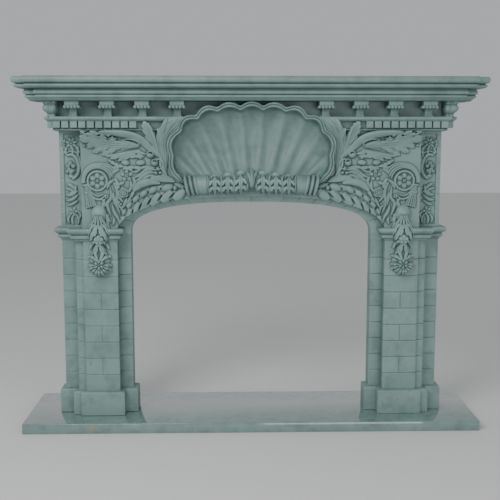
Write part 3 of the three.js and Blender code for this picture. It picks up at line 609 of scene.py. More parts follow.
def shaft_part():
    """Shaft with V joints round each course and upright joints in the middle of alternate courses."""
    middle, joint_depth, joined = (x1 + x2) / 2, 1.7, (1, 3, 5)
    line, normal = shaft_line(middle)
    shaft_top = z_shaft + shaft_height
    beds = [z_shaft + (i + 1) * course for i in range(9) if z_shaft + (i + 1) * course < shaft_top - 20]
    heights = sorted(set([z_shaft, shaft_top] + list(np.linspace(z_shaft + 8, shaft_top - 8, 30))
                         + [round(b + k, 2) for b in beds for k in (-6, -2.2, -1, 0, 1, 2.2, 6)]))
    x, d = line[None, :, 0], line[None, :, 1]
    z = np.repeat(np.array(heights)[:, None], len(line), 1)
    bed = np.min([np.abs(z - b) for b in beds], 0)
    groove = np.clip(1 - bed / 2.0, 0, 1)
    index = np.floor((z - z_shaft) / course)
    upright = (np.abs(x - middle) < 2.6) & (np.abs(d - main_depth) < 0.1) & np.isin(index, joined)
    groove = np.maximum(groove, np.where(upright, np.clip(1 - np.abs(x - middle) / 2.2, 0, 1), 0))
    # Painted shade in and around the joint grooves.
    cav = np.clip(0.5 + 0.26 * groove + 0.05 * np.exp(-(bed / 4.5) ** 2), 0, 1)
    # Painted shade on the leg's inner step, strongest in its corner.
    inner = np.exp(-((np.abs(x - x1) + np.maximum(d - block_depth, 0) * 0.25) / 7) ** 2) * (x < x1 + 1)
    cav = np.clip(cav + 0.25 * inner, 0, 1)
    points = place(x - normal[:, 0] * groove * joint_depth, d - normal[:, 1] * groove * joint_depth, z)
    rows, cols = z.shape
    f = quads(rows, cols)
    row = np.floor((z.ravel()[f].mean(1) - z_shaft) / course)
    xc = np.broadcast_to(x, z.shape).ravel()[f].mean(1)
    whole = (xc > x1) & (xc < x2) & ~np.isin(row, joined)
    block = row * 7 + np.digitize(xc, [x1, middle, x2, x3]) * np.where(whole, 0, 1)
    table = rng.random(400)
    tone = 0.5 + (table[block.astype(int) % 400] - 0.5) * 0.34
    rear = [[j * cols, (j + 1) * cols, (j + 2) * cols - 1, (j + 1) * cols - 1] for j in range(rows - 1)]
    faces = f.tolist() + rear + [list(range(cols)), list(range((rows - 1) * cols, rows * cols))[::-1]]
    return points, faces, cav, np.concatenate([tone, np.full(len(rear) + 2, 0.5)])


shaft = shaft_part()
block_plan = [(x0, 0), (x0, block_depth), (x1, block_depth), (x1, 0)]
block_top = tube([ring(block_plan, z) for z in (z_shaft + shaft_height, z_spring - joint_gap)])

impost_out = 27
impost_shares = [(0, 0.1), (0.1, 0.14), (0.16, 0.2), (0.2, 0.34), (0.24, 0.52), (0.33, 0.56), (0.42, 0.54),
                 (0.46, 0.44), (0.5, 0.42), (0.54, 0.5), (0.57, 0.64), (0.62, 0.78), (0.69, 0.9),
                 (0.76, 0.97), (0.83, 1), (0.9, 0.99), (0.96, 0.94), (1, 0.84)]


def impost_plan(p):
    inner, block = x1 + joint_gap, block_depth + joint_gap
    return [(inner, 0), (inner, block), (x1 - p, block), (x1 - p, main_depth + p), (x3 + p, main_depth + p),
            (x3 + p, block_depth + p), (x4 + p, block_depth + p), (x4 + p, 0)]


# The cavity list paints each profile row: painted shade in hollows and under overhangs, painted highlight on
# the rounds.
impost_cavity = [.8, .6, .6, .6, .45, .42, .55, .9, .9, .75, .6, .5, .45, .45, .42, .42, .45, .6]
impost = ringed(impost_plan, [(z_impost + h * impost_height, p * impost_out) for h, p in impost_shares], 1.5,
                impost_cavity, (0, 1, 2, 7))


def breakfront(p):
    """Plan of the mouldings over the frieze: a long run with an end that stands back at either side."""
    main, front = run_half + p, run_depth + p
    end, back = main + end_length, front - end_back
    return [(-end, 0), (-end, back), (-main, back), (-main, front), (main, front), (main, back),
            (end, back), (end, 0)]


bed_profile = [(0, 40), (2, 42), (4, 44), (7, 46), (9, 48), (11, 51), (12.5, 54), (14, 56), (17, 57),
               (20, 56.4), (22, 54.5), (23.3, 52), (24.5, 54), (26, 59), (28, 61.3), (31, 62), (35, 62),
               (37.5, 61.2), (39.5, 59.2), (42, 57.6), (46.5, 57)]
# Bed mould and shelf cavity lists paint each row: painted shade in coves and under overhangs, painted
# highlight on crowns.
bed_cavity = [.9, .85, .7, .6, .6, .55, .5, .42, .4, .45, .7, 1, .8, .45, .42, .42, .42, .42, .5, .7, .95]
shelf_profile = [(0, 70), (0.6, 77), (2, 82), (4, 86.5), (6, 89), (9, 90.8), (11, 91), (13.5, 90), (15, 88),
                 (16.2, 85), (17, 83), (18.5, 83.2), (19.2, 86), (20, 91), (21.5, 94.5), (24, 97),
                 (28, 98.7), (32, 99), (37, 98.4), (40, 97), (43.5, 94.8), (45, 92)]
shelf_cavity = [.95, .7, .5, .45, .45, .42, .42, .45, .6, .8, 1, 1, .8, .5, .42, .42, .45, .45, .45, .42,
                .4, .45]
bed = ringed(breakfront, [(z_bed + h, p) for h, p in bed_profile], 1.5, bed_cavity, (0, 7))
top = ringed(breakfront, [(z_shelf + h, p) for h, p in shelf_profile], 2.0, shelf_cavity, (0, 7))
make("bed_mould", "bed_moulding", [bed], honed, 50)
make("mantel_shelf", "shelf", [top], honed, 50)
board_half = run_half - console_width / 3
board_plan = [(-board_half, 0), (-board_half, board_depth), (board_half, board_depth), (board_half, 0)]
# The frieze board's cavity of 0.72 paints it darker: painted shade under the shelf.
board = tube([ring(board_plan, z) for z in (z_frieze, z_frieze + frieze_height)], 0.72)
make("frieze", "frieze_board", [board], honed)
for side, flip in (("left", mirror), ("right", lambda part: part)):
    make(f"plinth_{side}", f"base_{side}", [flip(base_part)], honed)
    make(f"shaft_{side}", f"leg_{side}", [flip(shaft), flip(block_top)], honed, 50)
    make(f"capital_{side}", f"impost_{side}", [flip(impost)], honed, 50)

# Header: carved field

hollow_line = np.concatenate([
    rim[::3] + (np.array([0, z_of(1080)]) - rim[::3]) * 0.03,
    np.array([shell_foot(q) + (0, 6) for q in np.linspace(0.95, -0.95, 12)]),
])


def arch_leaves(f):
    """Row of gadroons across the edge of the arch with drilled crevices, under pods and smooth leaves."""
    lower = [(290, 938, 38), (340, 931, 46), (385, 919, 52), (424, 902, 58), (458, 880, 66), (487, 852, 78),
             (508, 822, 92)]
    f.cord([(262, 944), (300, 940), (345, 934), (390, 921), (430, 903), (464, 880), (492, 851), (512, 815)],
           46, 9)
    f.cord([(318, 968), (360, 966), (400, 954), (440, 935), (470, 912), (496, 884)], 30, 9)
    for x, z, degrees in lower[::-1]:
        a = math.radians(degrees)
        c, s = math.cos(a), math.sin(a)
        f.leaf([(x - 30 * c, z + 30 * s), (x - 2 * s, z - 2 * c), (x + 26 * c, z - 26 * s)], 40, 17,
               full=0.55, fold=0, rib=0, blunt=0.3, base=0.7)
    for (xa, za, da), (xb, zb, db) in zip(lower, lower[1:]):
        f.slot(((xa + xb) / 2 + 1, (za + zb) / 2 + 1), 17, 3.6, -math.radians((da + db) / 2 + 4), 12)
    for x, z, rx, rz, degrees in [(334, 967, 27, 16, 20), (391, 958, 23, 14, 34), (428, 943, 21, 13, 40),
                                  (459, 922, 20, 12, 48), (486, 897, 18, 11, 56), (506, 870, 16, 9, 66)]:
        a = math.radians(degrees)
        f.bud((x, z), rx, rz, 18, angle=-a)
        f.slot((x + rx * math.cos(a), z - rx * math.sin(a) + 4), 6, 3.4, -a - 0.9, 12)
    f.leaf([(466, 956), (440, 980), (402, 990), (360, 984)], 36, 16, full=0.4, fold=0, rib=0, base=0.5)
    f.leaf([(408, 994), (378, 1004), (346, 1000), (300, 990)], 30, 14, full=0.4, fold=0.1, rib=0, blunt=0.6)
    f.leaf([(362, 1016), (334, 1008), (306, 998)], 14, 11, full=0.5, fold=0.1, rib=0)
    f.leaf([(262, 968), (284, 974), (306, 984)], 18, 13, strands=1, fold=0.1)
    f.bud((303, 966), 8, 11, 18)


def big_leaf(f):
    """Large leaf that swings out under the bead: lobed body, curled inner end and smooth stem over it."""
    f.leaves(10, [
        (22, 590, 1158, 636, 1176, 672, 1190), (22, 560, 1158, 596, 1174, 634, 1190),
        (20, 536, 1158, 560, 1174, 592, 1186), (26, 590, 1146, 640, 1150, 676, 1158),
        (28, 570, 1140, 618, 1134, 655, 1128), (28, 546, 1132, 596, 1118, 628, 1106),
        (26, 520, 1124, 566, 1106, 592, 1094),
    ], lobes=2, bite=0.14, full=0.6, fold=0.2, veins=0.14, blunt=0.6)
    f.leaf([(438, 1134), (500, 1134), (580, 1140), (676, 1170)], 52, 11, lobes=5, bite=0.1, slant=1.6,
           full=0.5, fold=0.16, veins=0.2, strands=3, blunt=0.6)
    f.leaf([(436, 1116), (480, 1104), (530, 1094), (576, 1092)], 22, 11, full=0.5, fold=0.1, rib=0)
    f.slot((494, 1162), 36, 2.4, 0.06, 3)
    f.cord([(506, 1158), (470, 1156), (447, 1147), (443, 1137), (454, 1127), (510, 1124)], 7, 14.5)
    for x, z, a in [(646, 1184, 0.3), (596, 1173, 0.2), (552, 1169, 0.1), (528, 1155, -0.5), (600, 1102, 0.5),
                    (650, 1129, 0.6)]:
        f.bud((x + 7, z + 3), 8, 5, 14, angle=a)
        f.slot((x, z), 7, 3, -a, 11)
    f.leaf([(350, 1082), (400, 1124), (440, 1158), (492, 1176), (560, 1184), (600, 1186)], 34, 13, full=0.42,
           fold=0, rib=0, base=0.3)


def buds_and_leaves(f):
    f.leaves(12, [
        (22, 412, 1098, 456, 1106, 514, 1090, 560, 1080), (20, 420, 1090, 470, 1092, 530, 1072),
        (18, 500, 1050, 530, 1056, 566, 1078), (16, 405, 1050, 450, 1046, 512, 1050),
        (14, 430, 1080, 452, 1090, 476, 1084), (14, 512, 1060, 530, 1046, 552, 1050),
    ], lobes=4, bite=0.32, full=0.5, veins=0.16)
    f.bud((438, 1066), 19, 12, 16, angle=-0.1, seam=1.2)
    f.bud((497, 1066), 17, 12, 16, angle=0.1, seam=1.2)
    f.leaves(11, [
        (16, 372, 1036, 410, 1040, 440, 1018, 468, 1004), (15, 374, 1026, 410, 1026, 440, 1004, 464, 990),
        (13, 380, 1046, 424, 1048, 456, 1030, 476, 1030), (13, 378, 1014, 404, 1014, 436, 996),
    ], full=0.5, fold=0.2, strands=1)
    f.leaves(14, [
        (14, 352, 1070, 362, 1096, 390, 1114), (13, 344, 1046, 354, 1074, 378, 1082),
    ], full=0.5, fold=0.1)


def tall_leaf(f):
    """Two plumes beside the shell that rise over the dentil band, the inner one tucked behind the rim."""
    f.leaf([(346, 1010), (344, 1080), (348, 1150), (322, 1200), (262, 1244)], 66, 11, full=0.66, rib=0,
           fold=0, blunt=0.45, strands=3, base=0.35)
    f.leaves(13.5, [
        (20, 352, 1128, 356, 1170, 368, 1202), (22, 350, 1150, 346, 1196, 330, 1240),
        (20, 342, 1160, 322, 1204, 288, 1240),
    ], full=0.62, rib=0.1)
    f.leaf([(354, 1076), (374, 1124), (396, 1168), (420, 1228)], 46, 13, lobes=6, bite=0.16, slant=1.7,
           full=0.74, rib=0.15, fold=0.2, veins=0.08, blunt=0.55, strands=2)
    f.leaf([(362, 1090), (376, 1140), (388, 1180), (398, 1214)], 14, 14.5, full=0.6, fold=0.1, rib=0)
    f.leaves(13, [
        (14, 350, 1064, 346, 1036, 332, 1012), (12, 362, 1086, 358, 1050, 346, 1024),
    ], fold=0.1, rib=0)


def flowers(f):
    f.leaves(11, [
        (15, 464, 992, 468, 950, 494, 904), (15, 534, 984, 530, 940, 508, 908),
        (16, 500, 990, 528, 980, 548, 985), (14, 470, 1030, 480, 1040, 510, 1042),
    ], lobes=3, bite=0.25, full=0.5)
    f.leaves(10, [
        (17, 542, 1006, 530, 985, 524, 962), (15, 478, 994, 476, 970, 486, 948),
        (14, 528, 934, 534, 914, 530, 896), (14, 494, 926, 502, 904, 514, 884),
        (14, 548, 950, 544, 918, 538, 890), (14, 470, 1010, 462, 990, 470, 968),
        (15, 520, 1040, 536, 1034, 548, 1022),
    ], full=0.5)
    f.flower((493, 1015), 28, 5, 16, cup=0.5, boss=0.28)
    f.rose((507, 947), 24, 17, turn=0.1)
    f.blossom((527, 901), 15, 5, 14, turn=0.5)


def scrolls(f):
    """Curled ends that run down beside the shell."""
    f.scroll((399, 1099), 16, 21, turn=0.6)
    f.scroll((382, 1067), 15, 21, turn=0.6)
    f.bud((368, 1042), 10, 9, 17, hole=(363, 1046, 3.4, 9))
    f.bud((378, 1025), 8, 7, 15)
    f.bud((361, 1026), 7, 7, 15)


def ribbons(f):
    """Leaves and strands that fall beside the drop."""
    f.leaves(12, [
        (15, 548, 990, 532, 950, 536, 905, 520, 860), (15, 560, 975, 556, 930, 572, 900, 556, 850),
        (15, 578, 930, 590, 892, 576, 855, 556, 826), (15, 552, 905, 546, 872, 530, 845, 524, 818),
        (15, 540, 1000, 562, 985, 572, 960), (14, 566, 862, 574, 845, 566, 818),
        (13, 548, 852, 546, 836, 552, 816), (12, 530, 905, 514, 880, 512, 850),
        (13, 600, 925, 586, 915, 580, 890),
    ], full=0.5, fold=0.22, strands=1, blunt=0.6)
    f.cord([(640, 944), (618, 924), (596, 922), (578, 940)], 10, 10)
    f.bud((573, 932), 9, 9, 13, hole=(573, 932, 3.4, 8))


def roundel(f):
    """Six-petalled disc in a ring, under a hood of concentric flutes, with a fluted tassel below."""
    c = (609, 994)
    w, r, t = f.polar(c, 112)
    t = np.degrees(t)
    t = np.where(t < -60, t + 360, t)
    share = np.clip((t + 14) / 190, 0, 1)
    outer = 63 + 9 * smooth(0.05, 0.5, share) + 15 * smooth(0.5, 0.85, share)
    inner = 46 + 2 * share
    v = (r - inner) / (outer - inner)
    ends = np.minimum(t + 16, 182 - (r - 43) * 0.6 - t)
    ridge = 0.5 - 0.5 * np.cos(2 * np.pi * 4 * v)
    scallop = 5 * (1 - ridge) * smooth(20, 0, ends)
    dome = np.sqrt(np.clip(1 - (2 * v - 1) ** 4, 0, 1))
    h = 9.5 * dome + (2.6 + 4 * smooth(0.45, 0.9, share)) * (ridge ** 0.7 - 0.6)
    h = h * smooth(0, 8, ends - scallop)
    f.put(w, h, np.minimum(np.minimum(outer - r, r - inner), (ends - scallop) * 0.8))
    rise = 12 * np.sqrt(np.clip(1 - ((r - 37.5) / 5) ** 4, 0, 1))
    f.put(w, rise, np.where(np.abs(r - 37.5) < 5, 5 - np.abs(r - 37.5), -99))
    f.put(w, np.full_like(r, 1.5), 36 - r)
    for k in range(6):
        a = math.pi / 6 + k * math.pi / 3
        f.bud(around(c, 21, a), 12.4, 10.9, 11, angle=a, seam=1.2)
    f.bud(c, 7.5, 7.5, 13, hole=(*c, 2.4, 7))
    top, foot = np.array([652.0, 972.0]), np.array([634.0, 892.0])
    line = np.array([top, (top + foot) / 2, foot])
    w = f.window(line, 34)
    s, n, _, over = nearest(line, f.x[w], f.z[w])
    half = 9 + 15 * s
    u = n / half
    flutes = 0.5 + 0.5 * np.cos(2 * np.pi * 2.5 * u)
    h = (7 + 6 * flutes ** 0.7) * np.sqrt(np.clip(1 - u ** 4, 0, 1)) * (0.75 + 0.35 * s)
    f.put(w, h, np.minimum(half - np.abs(n), 2 - over * 2 + 3 * flutes))
    f.cord([(636, 968), (650, 978), (668, 974)], 11, 12)
    f.cord([(640, 952), (652, 946), (664, 950)], 8, 9)
    f.cord([(646, 974), (628, 944), (604, 934), (580, 944)], 8, 9)


def field_part():
    """Carved skin of the right spandrel, and what of it rises over the cornice or hangs over the band."""
    f = Field(-2, x2 + 1, 800, 1246)
    for carve in (arch_leaves, big_leaf, tall_leaf, buds_and_leaves, ribbons, flowers, scrolls, roundel):
        carve(f)
    wave = 0.35 * np.sin(f.x / 31 + f.z / 47) + 0.25 * np.sin(f.x / 13 - f.z / 17 + 1)
    h = np.maximum(blurred(f.h, 0.45), 0)
    lift = 34 * smooth(1120, 1236, f.z)
    depth = main_depth + lift * np.clip(h / 5, 0, 1) + h + np.where(f.h > 0, 0, wave * 0.4)
    depth = np.minimum(depth, 171)
    band = arch_inside(f.x, f.z, x1, arch_rise + band_at_crown)
    above = f.z - z_header
    field = np.min([x2 - f.x, f.x + 0.5, z_bead + 4 - f.z, above, band], 0)
    over = np.where(f.z > z_bead, np.minimum(f.edge, z_ledge_top - f.z), -99)
    hang = np.where(band < 0, np.minimum(f.edge, band + 4), -99)
    phi = np.max([field, over, np.minimum(hang, above)], 0)
    near = np.abs(f.x) < 345
    shell = np.full(f.x.shape, 99.0)
    shell[near] = -inside_loop(hollow_line, f.x[near], f.z[near])
    points, faces, cav, tone = skin(f.x, f.z, depth, np.minimum(phi, shell),
                                    lambda x, z: np.where(z < z_bead - 2, 38.0, 120.0), f.step, 0.22)
    # The painted shade and highlight from the cavity are softened over the upper carving towards the strip.
    soft = smooth(0.40, 0.46, points[:, 0]) * smooth(1.08, 1.12, points[:, 2])
    return points, faces, 0.5 + (cav - 0.5) * (1 - 0.34 * soft), tone


field = field_part()

# Header: sunk strips at its ends

def strip_part():
    f = Field(x2, x4, z_header, z_bead + 2)
    f.flower((718, 1142), 29, 7, 13, turn=0.2, cup=0.5, boss=0.2)
    f.leaves(11, [
        (16, 700, 1132, 690, 1112, 694, 1086), (14, 736, 1128, 742, 1106, 732, 1092),
        (12, 716, 1130, 712, 1108, 718, 1090), (12, 742, 1160, 748, 1140, 744, 1120),
    ], lobes=3, full=0.5)
    f.cord([(742, 1090), (716, 1096), (698, 1078), (690, 1046), (696, 1018), (716, 1000), (738, 1000)], 17,
           11, groove=1.5)
    f.cord([(746, 1100), (716, 1110), (694, 1098), (684, 1070), (682, 1040)], 9, 8)
    for x, z, r in [(724, 1062, 10), (733, 1050, 10), (712, 1050, 10), (728, 1036, 10), (714, 1032, 9),
                    (738, 1028, 8), (722, 1024, 8)]:
        f.bud((x, z), r, r * 0.9, 13, hole=(x, z, 2.6, 5))
    f.bud((722, 1010), 12, 9, 12, seam=2)
    coil = spline([(728 + 25 * math.cos(a), 965 + 22 * math.sin(a)) for a in np.linspace(0.6, 6.6, 9)], 4)
    f.cord(coil, 9, 9)
    f.leaves(11, [
        (16, 742, 980, 722, 972, 702, 952), (13, 748, 962, 726, 956, 708, 942),
        (16, 748, 934, 722, 936, 696, 952), (16, 746, 912, 722, 916, 694, 936),
        (14, 742, 892, 720, 898, 694, 914),
    ], full=0.5, fold=0.2, strands=1)
    f.flower((716, 868), 22, 5, 13, turn=0.6)
    f.leaves(10, [
        (13, 716, 856, 722, 836, 718, 812), (12, 706, 856, 696, 838, 698, 814),
        (12, 728, 856, 738, 838, 734, 818), (11, 698, 868, 688, 856, 690, 838),
    ], full=0.5)
    sunk = np.min([smooth(0, 2, x4 - 15 - f.x), smooth(0, 2, f.z - z_header - 7), smooth(0, 2, 1181 - f.z)],
                  0)
    joint = np.min([np.abs(f.z - z) for z in (1128.7, 1064.7, 998.9, 936.3, 871)], 0)
    groove = np.clip(1 - joint / 2.2, 0, 1) * (f.x > x4 - 14)
    relief = 1.15 * np.maximum(blurred(f.h, 0.45), 0) * (f.x < x4 - 3)
    depth = block_depth - 5.5 * sunk - 1.6 * groove + relief
    points, faces, cav, tone = skin(f.x, f.z, depth, np.ones_like(f.x), 40, f.step)
    # Painted shade along the wall where the strip meets the field; the cavity's painted shade and highlight
    # are softened a little.
    painted_wall_shade = np.exp(-((points[:, 0] * 1000 - x2) / 7) ** 2) * 0.14
    return points, faces, np.clip(0.5 + (cav - 0.5) * 0.9 + painted_wall_shade, 0, 1), tone


strip = strip_part()

# Header: core, arch band, bead, dentils and ledge

def arch_points(half, rise, steps):
    a = np.pi * np.arange(steps + 1) / steps
    c, s = np.cos(a), np.sin(a)
    power = 2 / arch_power
    return np.stack([half * np.sign(c) * np.abs(c) ** power, z_spring + rise * np.abs(s) ** power], -1)


def band_part():
    """Plain band round the arch, its soffit and the step up to the field, with radial joints."""
    inner, outer = arch_points(x0, arch_rise, 900), arch_points(x1, arch_rise + band_at_crown, 900)
    run = np.concatenate([[0], np.cumsum(np.hypot(*np.diff((inner + outer) / 2, axis=0).T))])
    pitch = 64.0
    off = np.abs(run - run[-1] / 2) % pitch
    joint = np.clip(1 - np.minimum(off, pitch - off) / 2.0, 0, 1)
    rows, cav = [], []
    # Levels of 0.3 paint the band and its soffit lighter, painted light against the shade under the torus;
    # the joints get painted shade.
    for share, depth, dip, level in [(0, 0, 0, .3), (0, 61, 0, .3), (0.02, 62.4, 0.5, .3), (0.06, 63, 1, .3),
                                     (0.5, 63, 1, .3), (1, 63, 1, .5), (1, 118, 0, .3)]:
        spot = inner + (outer - inner) * share
        rows.append(place(spot[:, 0], depth - 1.5 * dip * joint, spot[:, 1]))
        cav.append(level + 0.5 * dip * joint)
    points = np.array(rows)
    # Tone 1 paints the band lighter still: the same painted light.
    return points, quads(len(rows), points.shape[1], flip=True), np.array(cav), 1.0


def core_parts():
    """Back slab of the header, and what closes it behind the bead, the dentils and the shell."""
    inner, bead = x1 - joint_gap, z_bead - 2
    right = [(x4, bead), (x4, z_header), (inner, z_header), (inner, z_spring)]
    left = [(-x0, z_spring)] + [(-x, z) for x, z in right[::-1]]
    outline = np.concatenate([arch_points(x0, arch_rise, 80), left, right])
    slab = tube([place(outline[:, 0], d, outline[:, 1]) for d in (0, 39)])
    closing = [(z_bead - 1.8, 278.8), (z_bead, 278.8), (z_dentil + 14, 271.8), (z_ledge, 261.8),
               (z_ledge_top, 235.8)]
    behind = tube([ring([(-w, 0), (-w, 78), (w, 78), (w, 0)], z) for z, w in closing])
    return [slab, behind]


bead_profile = [(-2, -16), (0, -8), (1.5, -5), (4, -3), (6, -2.5), (8, -3.2), (9.5, -5), (10, -7), (11, 0)]
ledge_profile = [(0, 0), (1, 14), (3, 16.5), (5, 19), (7, 22.5), (10, 24.6), (15, 25), (17.5, 24.3), (19, 22)]
cornice_profile = [(z_bead + h, p) for h, p in bead_profile] + [(z_ledge + h, p) for h, p in ledge_profile]
# The cornice cavity list paints painted shade under the bead and ledge and painted highlight on their fronts.
cornice_cavity = [.9, .8, .5, .42, .42, .45, .8, 1, .9, .9, .8, .6, .5, .45, .42, .42, .42, .5]


def half_cornice():
    """Right half of the bead, dentil band and ledge. It ends behind the rim of the shell."""
    loops = []
    for z, p in cornice_profile:
        end = np.interp(z, [z_bead, z_dentil + 14, z_ledge, z_ledge_top], [279, 272, 262, 236])
        main = 760 + p
        plan = [(end, 0), (end, 133 + p), (main, 133 + p), (main, 97 + p), (main + 27, 97 + p),
                (main + 27, 0)]
        loops.append(ring(rounded(plan, 1.2, keep=(0, 1, 5)), z))
    cavity = np.repeat(np.array(cornice_cavity)[:, None], len(loops[0]), 1)
    cavity[:, [0, -1]] = 0.5
    return tube(loops, cavity.ravel())


cornice = half_cornice()


def dentil_parts():
    """Square dentils with soft edges along the front and round both ends."""
    parts = []

    def tooth(side, xa, xb, da, db):
        xa, xb = sorted((side * xa, side * xb))
        plan = rounded([(xa, da), (xa, db), (xb, db), (xb, da)], 1.3, 2)
        loops, cavity = [], []
        for z, inset, c in [(z_dentil + 0.2, 1.2, .5), (z_dentil + 1.3, 0, .44), (z_ledge - 0.6, 0, .55),
                            (z_ledge + 1.5, 0, .85)]:
            x = np.clip(plan[:, 0], xa + inset, xb - inset)
            loops.append(ring(np.stack([x, np.clip(plan[:, 1], da + inset, db - inset)], -1), z))
            # Painted shade at the dentils' backs and under the ledge, painted highlight on their fronts.
            cavity.append(np.where(plan[:, 1] < db - 6, 0.85, c))
        parts.append(tube(loops, np.concatenate(cavity), 0.5 + rng.uniform(-0.12, 0.12)))

    for side in (-1, 1):
        for i in range(10):
            outer = dentil_half - 1 - i * dentil_pitch
            tooth(side, outer - dentil_width, outer, dentil_depth - 22, dentil_depth)
        for i in range(3):
            deep = dentil_depth - end_back - i * dentil_pitch
            outer = dentil_half + 27
            tooth(side, outer - 16 if i else dentil_half + 4.5, outer, deep - dentil_width, deep)
    return parts


# Header: shell and torus

def shell_part():
    """Hollow shell with a double-beaded rim and broad flutes that fade towards its foot."""
    columns = len(rim)
    q = np.linspace(-1, 1, columns)
    foot = shell_foot(q)
    length = np.hypot(*(foot - rim).T)
    along = np.gradient(rim, axis=0)
    normal = np.stack([along[:, 1], -along[:, 0]], -1) / np.hypot(along[:, 0], along[:, 1])[:, None]
    lip = 172 - 26 * np.abs(q) ** 3
    width = np.minimum(21, length * 0.35)
    rib = -np.cos(2 * np.pi * (np.linspace(0, 1, columns) - 0.5) * (2 * len(rim_cusps) - 3))
    rows, cav = [], []
    # The rim rows' cavity paints shade in the groove between the beads and highlight on their crowns.
    bead = [(0.0, -90, .6), (0.0, -12, .6), (0.02, -5, .5), (0.10, -1.6, .42), (0.24, 0, .38),
            (0.36, -1.5, .45), (0.43, -4.5, .8), (0.47, -5.4, 1), (0.52, -4.5, .8), (0.62, -1.5, .42),
            (0.76, -0.5, .38), (0.88, -2.5, .42), (0.97, -8, .6), (1.0, -14, .75), (1.06, -20, .9)]
    kernel = np.hanning(75) / np.hanning(75).sum()
    into = np.stack([np.convolve(np.pad(normal[:, k], 37, mode="edge"), kernel, "valid") for k in (0, 1)], -1)
    into /= np.hypot(into[:, 0], into[:, 1])[:, None]
    for share, drop, c in bead:
        spot = rim + into * (width * share)[:, None]
        rows.append(place(spot[:, 0], np.maximum(lip + drop, 79), spot[:, 1]))
        cav.append(np.full(columns, c))
    begin = rim + into * (width * 1.1)[:, None]
    for f in np.linspace(0, 1, 56):
        floor = (lip - 22) * (1 - f) + roll_depth * f
        sag = (floor - 88) * np.minimum(1, length / 230)
        flute = 6 * rib * np.minimum(1, length / 120)
        spot = begin + (foot - begin) * f
        rows.append(place(spot[:, 0], floor - (sag - flute) * np.sin(np.pi * f) ** 0.75, spot[:, 1]))
        shadow = 0.35 * math.exp(-(f / 0.05) ** 2) + 0.4 * smooth(0.9, 1, f)
        # Flutes painted darker and ridges lighter: painted shade and highlight.
        cav.append(np.clip(0.5 - 0.12 * rib + shadow, 0, 1))
    return np.array(rows), quads(len(rows), columns), np.array(cav), 0.28


def roll_leaves(f):
    """Leaves that wrap the torus, three at either side of a palmette in the middle."""
    for side in (-1, 1):
        for x in (44, 95, 146):
            c = side * x
            f.cord([(c + side * dx, z) for dx, z in ((34, 44), (24, 22), (27, -16), (20, -52))], 12, 9)
            f.cord([(c - side * dx, z) for dx, z in ((20, -52), (27, -20), (22, 10))], 9, 7)
            for off, top in ((-1, -14), (1, -14), (-1, 12), (1, 12)):
                f.leaf([(c, top - 4), (c + off * 12, top), (c + off * 22, top - 16)], 15, 14, full=0.62,
                       rib=0, fold=0.1, blunt=0.4)
            f.leaf([(c, -54), (c, -8), (c, 40)], 22, 14, full=0.7, fold=0.35, blunt=0.35)
            f.bud((c, 40 + (95 - x) * 0.12), 17, 9.5, 18)
            for off in (-7, 7):
                f.slot((c + off, 29), 5, 3.6, 0, 15)
    for off in (-19, 19):
        f.leaf([(off * 0.2, -52), (off * 0.35, 10), (off * 1.1, 50)], 14, 12, full=0.78, fold=0.15)
    f.leaf([(0, -52), (0, 10), (0, 72)], 21, 18, full=0.82, fold=0.1, rib=0.3)


def torus_part():
    """Fat roll with three rings at each end, leaves wrapped over it and a palmette in the middle."""
    f = Field(-roll_half, roll_half, -80, 100, 1.3)
    roll_leaves(f)
    h = np.maximum(blurred(f.h, 0.5), 0)
    x = np.linspace(-roll_half, roll_half, 470)
    inset = roll_half - np.abs(x)
    swells = [(0, .8), (1, .95), (4, 1.06), (8, 1.1), (12, 1.04), (15, .86), (17, .8), (19, .88), (22, 1.04),
              (26, 1.09), (30, 1.03), (33, .85), (35, .8), (37, .88), (40, 1), (44, 1.05), (48, 1), (51, .92),
              (60, .96), (84, 1), (88, .94), (90, .88), (94, .98), (150, 1.02), (262, 1.06)]
    share = np.interp(inset, *zip(*swells))
    middle = z_header + 167 + 11 * (1 - (x / roll_half) ** 2) + 6 * np.exp(-(x / 34) ** 2)
    a, xx = np.meshgrid(np.linspace(-0.62, 0.62, 56) * np.pi, x, indexing="ij")
    fj = np.clip((a * roll_radius + 80) / f.step, 0, f.zs.size - 1.001)
    i, j = np.clip(((xx + roll_half) / f.step).astype(int), 0, f.xs.size - 2), fj.astype(int)
    rise = np.where(np.abs(a) > 1.75, 0, h[j, i] * (inset > 88))
    r = roll_radius * share + rise - 5 * (inset > 92)
    lean = 0.22 * np.sign(xx) * smooth(150, 240, np.abs(xx)) * (r * np.sin(a) + 8)
    points = place(xx + lean, roll_depth + r * np.cos(a), middle + r * np.sin(a))
    # Painted shade on the underside of the roll.
    low = 0.3 * smooth(-0.35 * np.pi, -0.5 * np.pi, a)
    return points, quads(*a.shape), np.clip(hollows(r, 1.6) + low, 0, 1), 0.5


make("carved_field_right", "header", [field], honed, 65)
make("carved_field_left", "header", [mirror(field)], honed, 65)
make("carved_strips", "header", [strip, mirror(strip)], honed, 65)
make("header_core", "header", core_parts() + [band_part()], honed, 40)
make("header_cornice", "header", [cornice, mirror(cornice)] + dentil_parts(), honed, 45)
make("shell", "header", [shell_part()], honed, 60)
make("torus", "header", [torus_part()], honed, 60)

# Drops that hang over the header, the imposts and the shafts

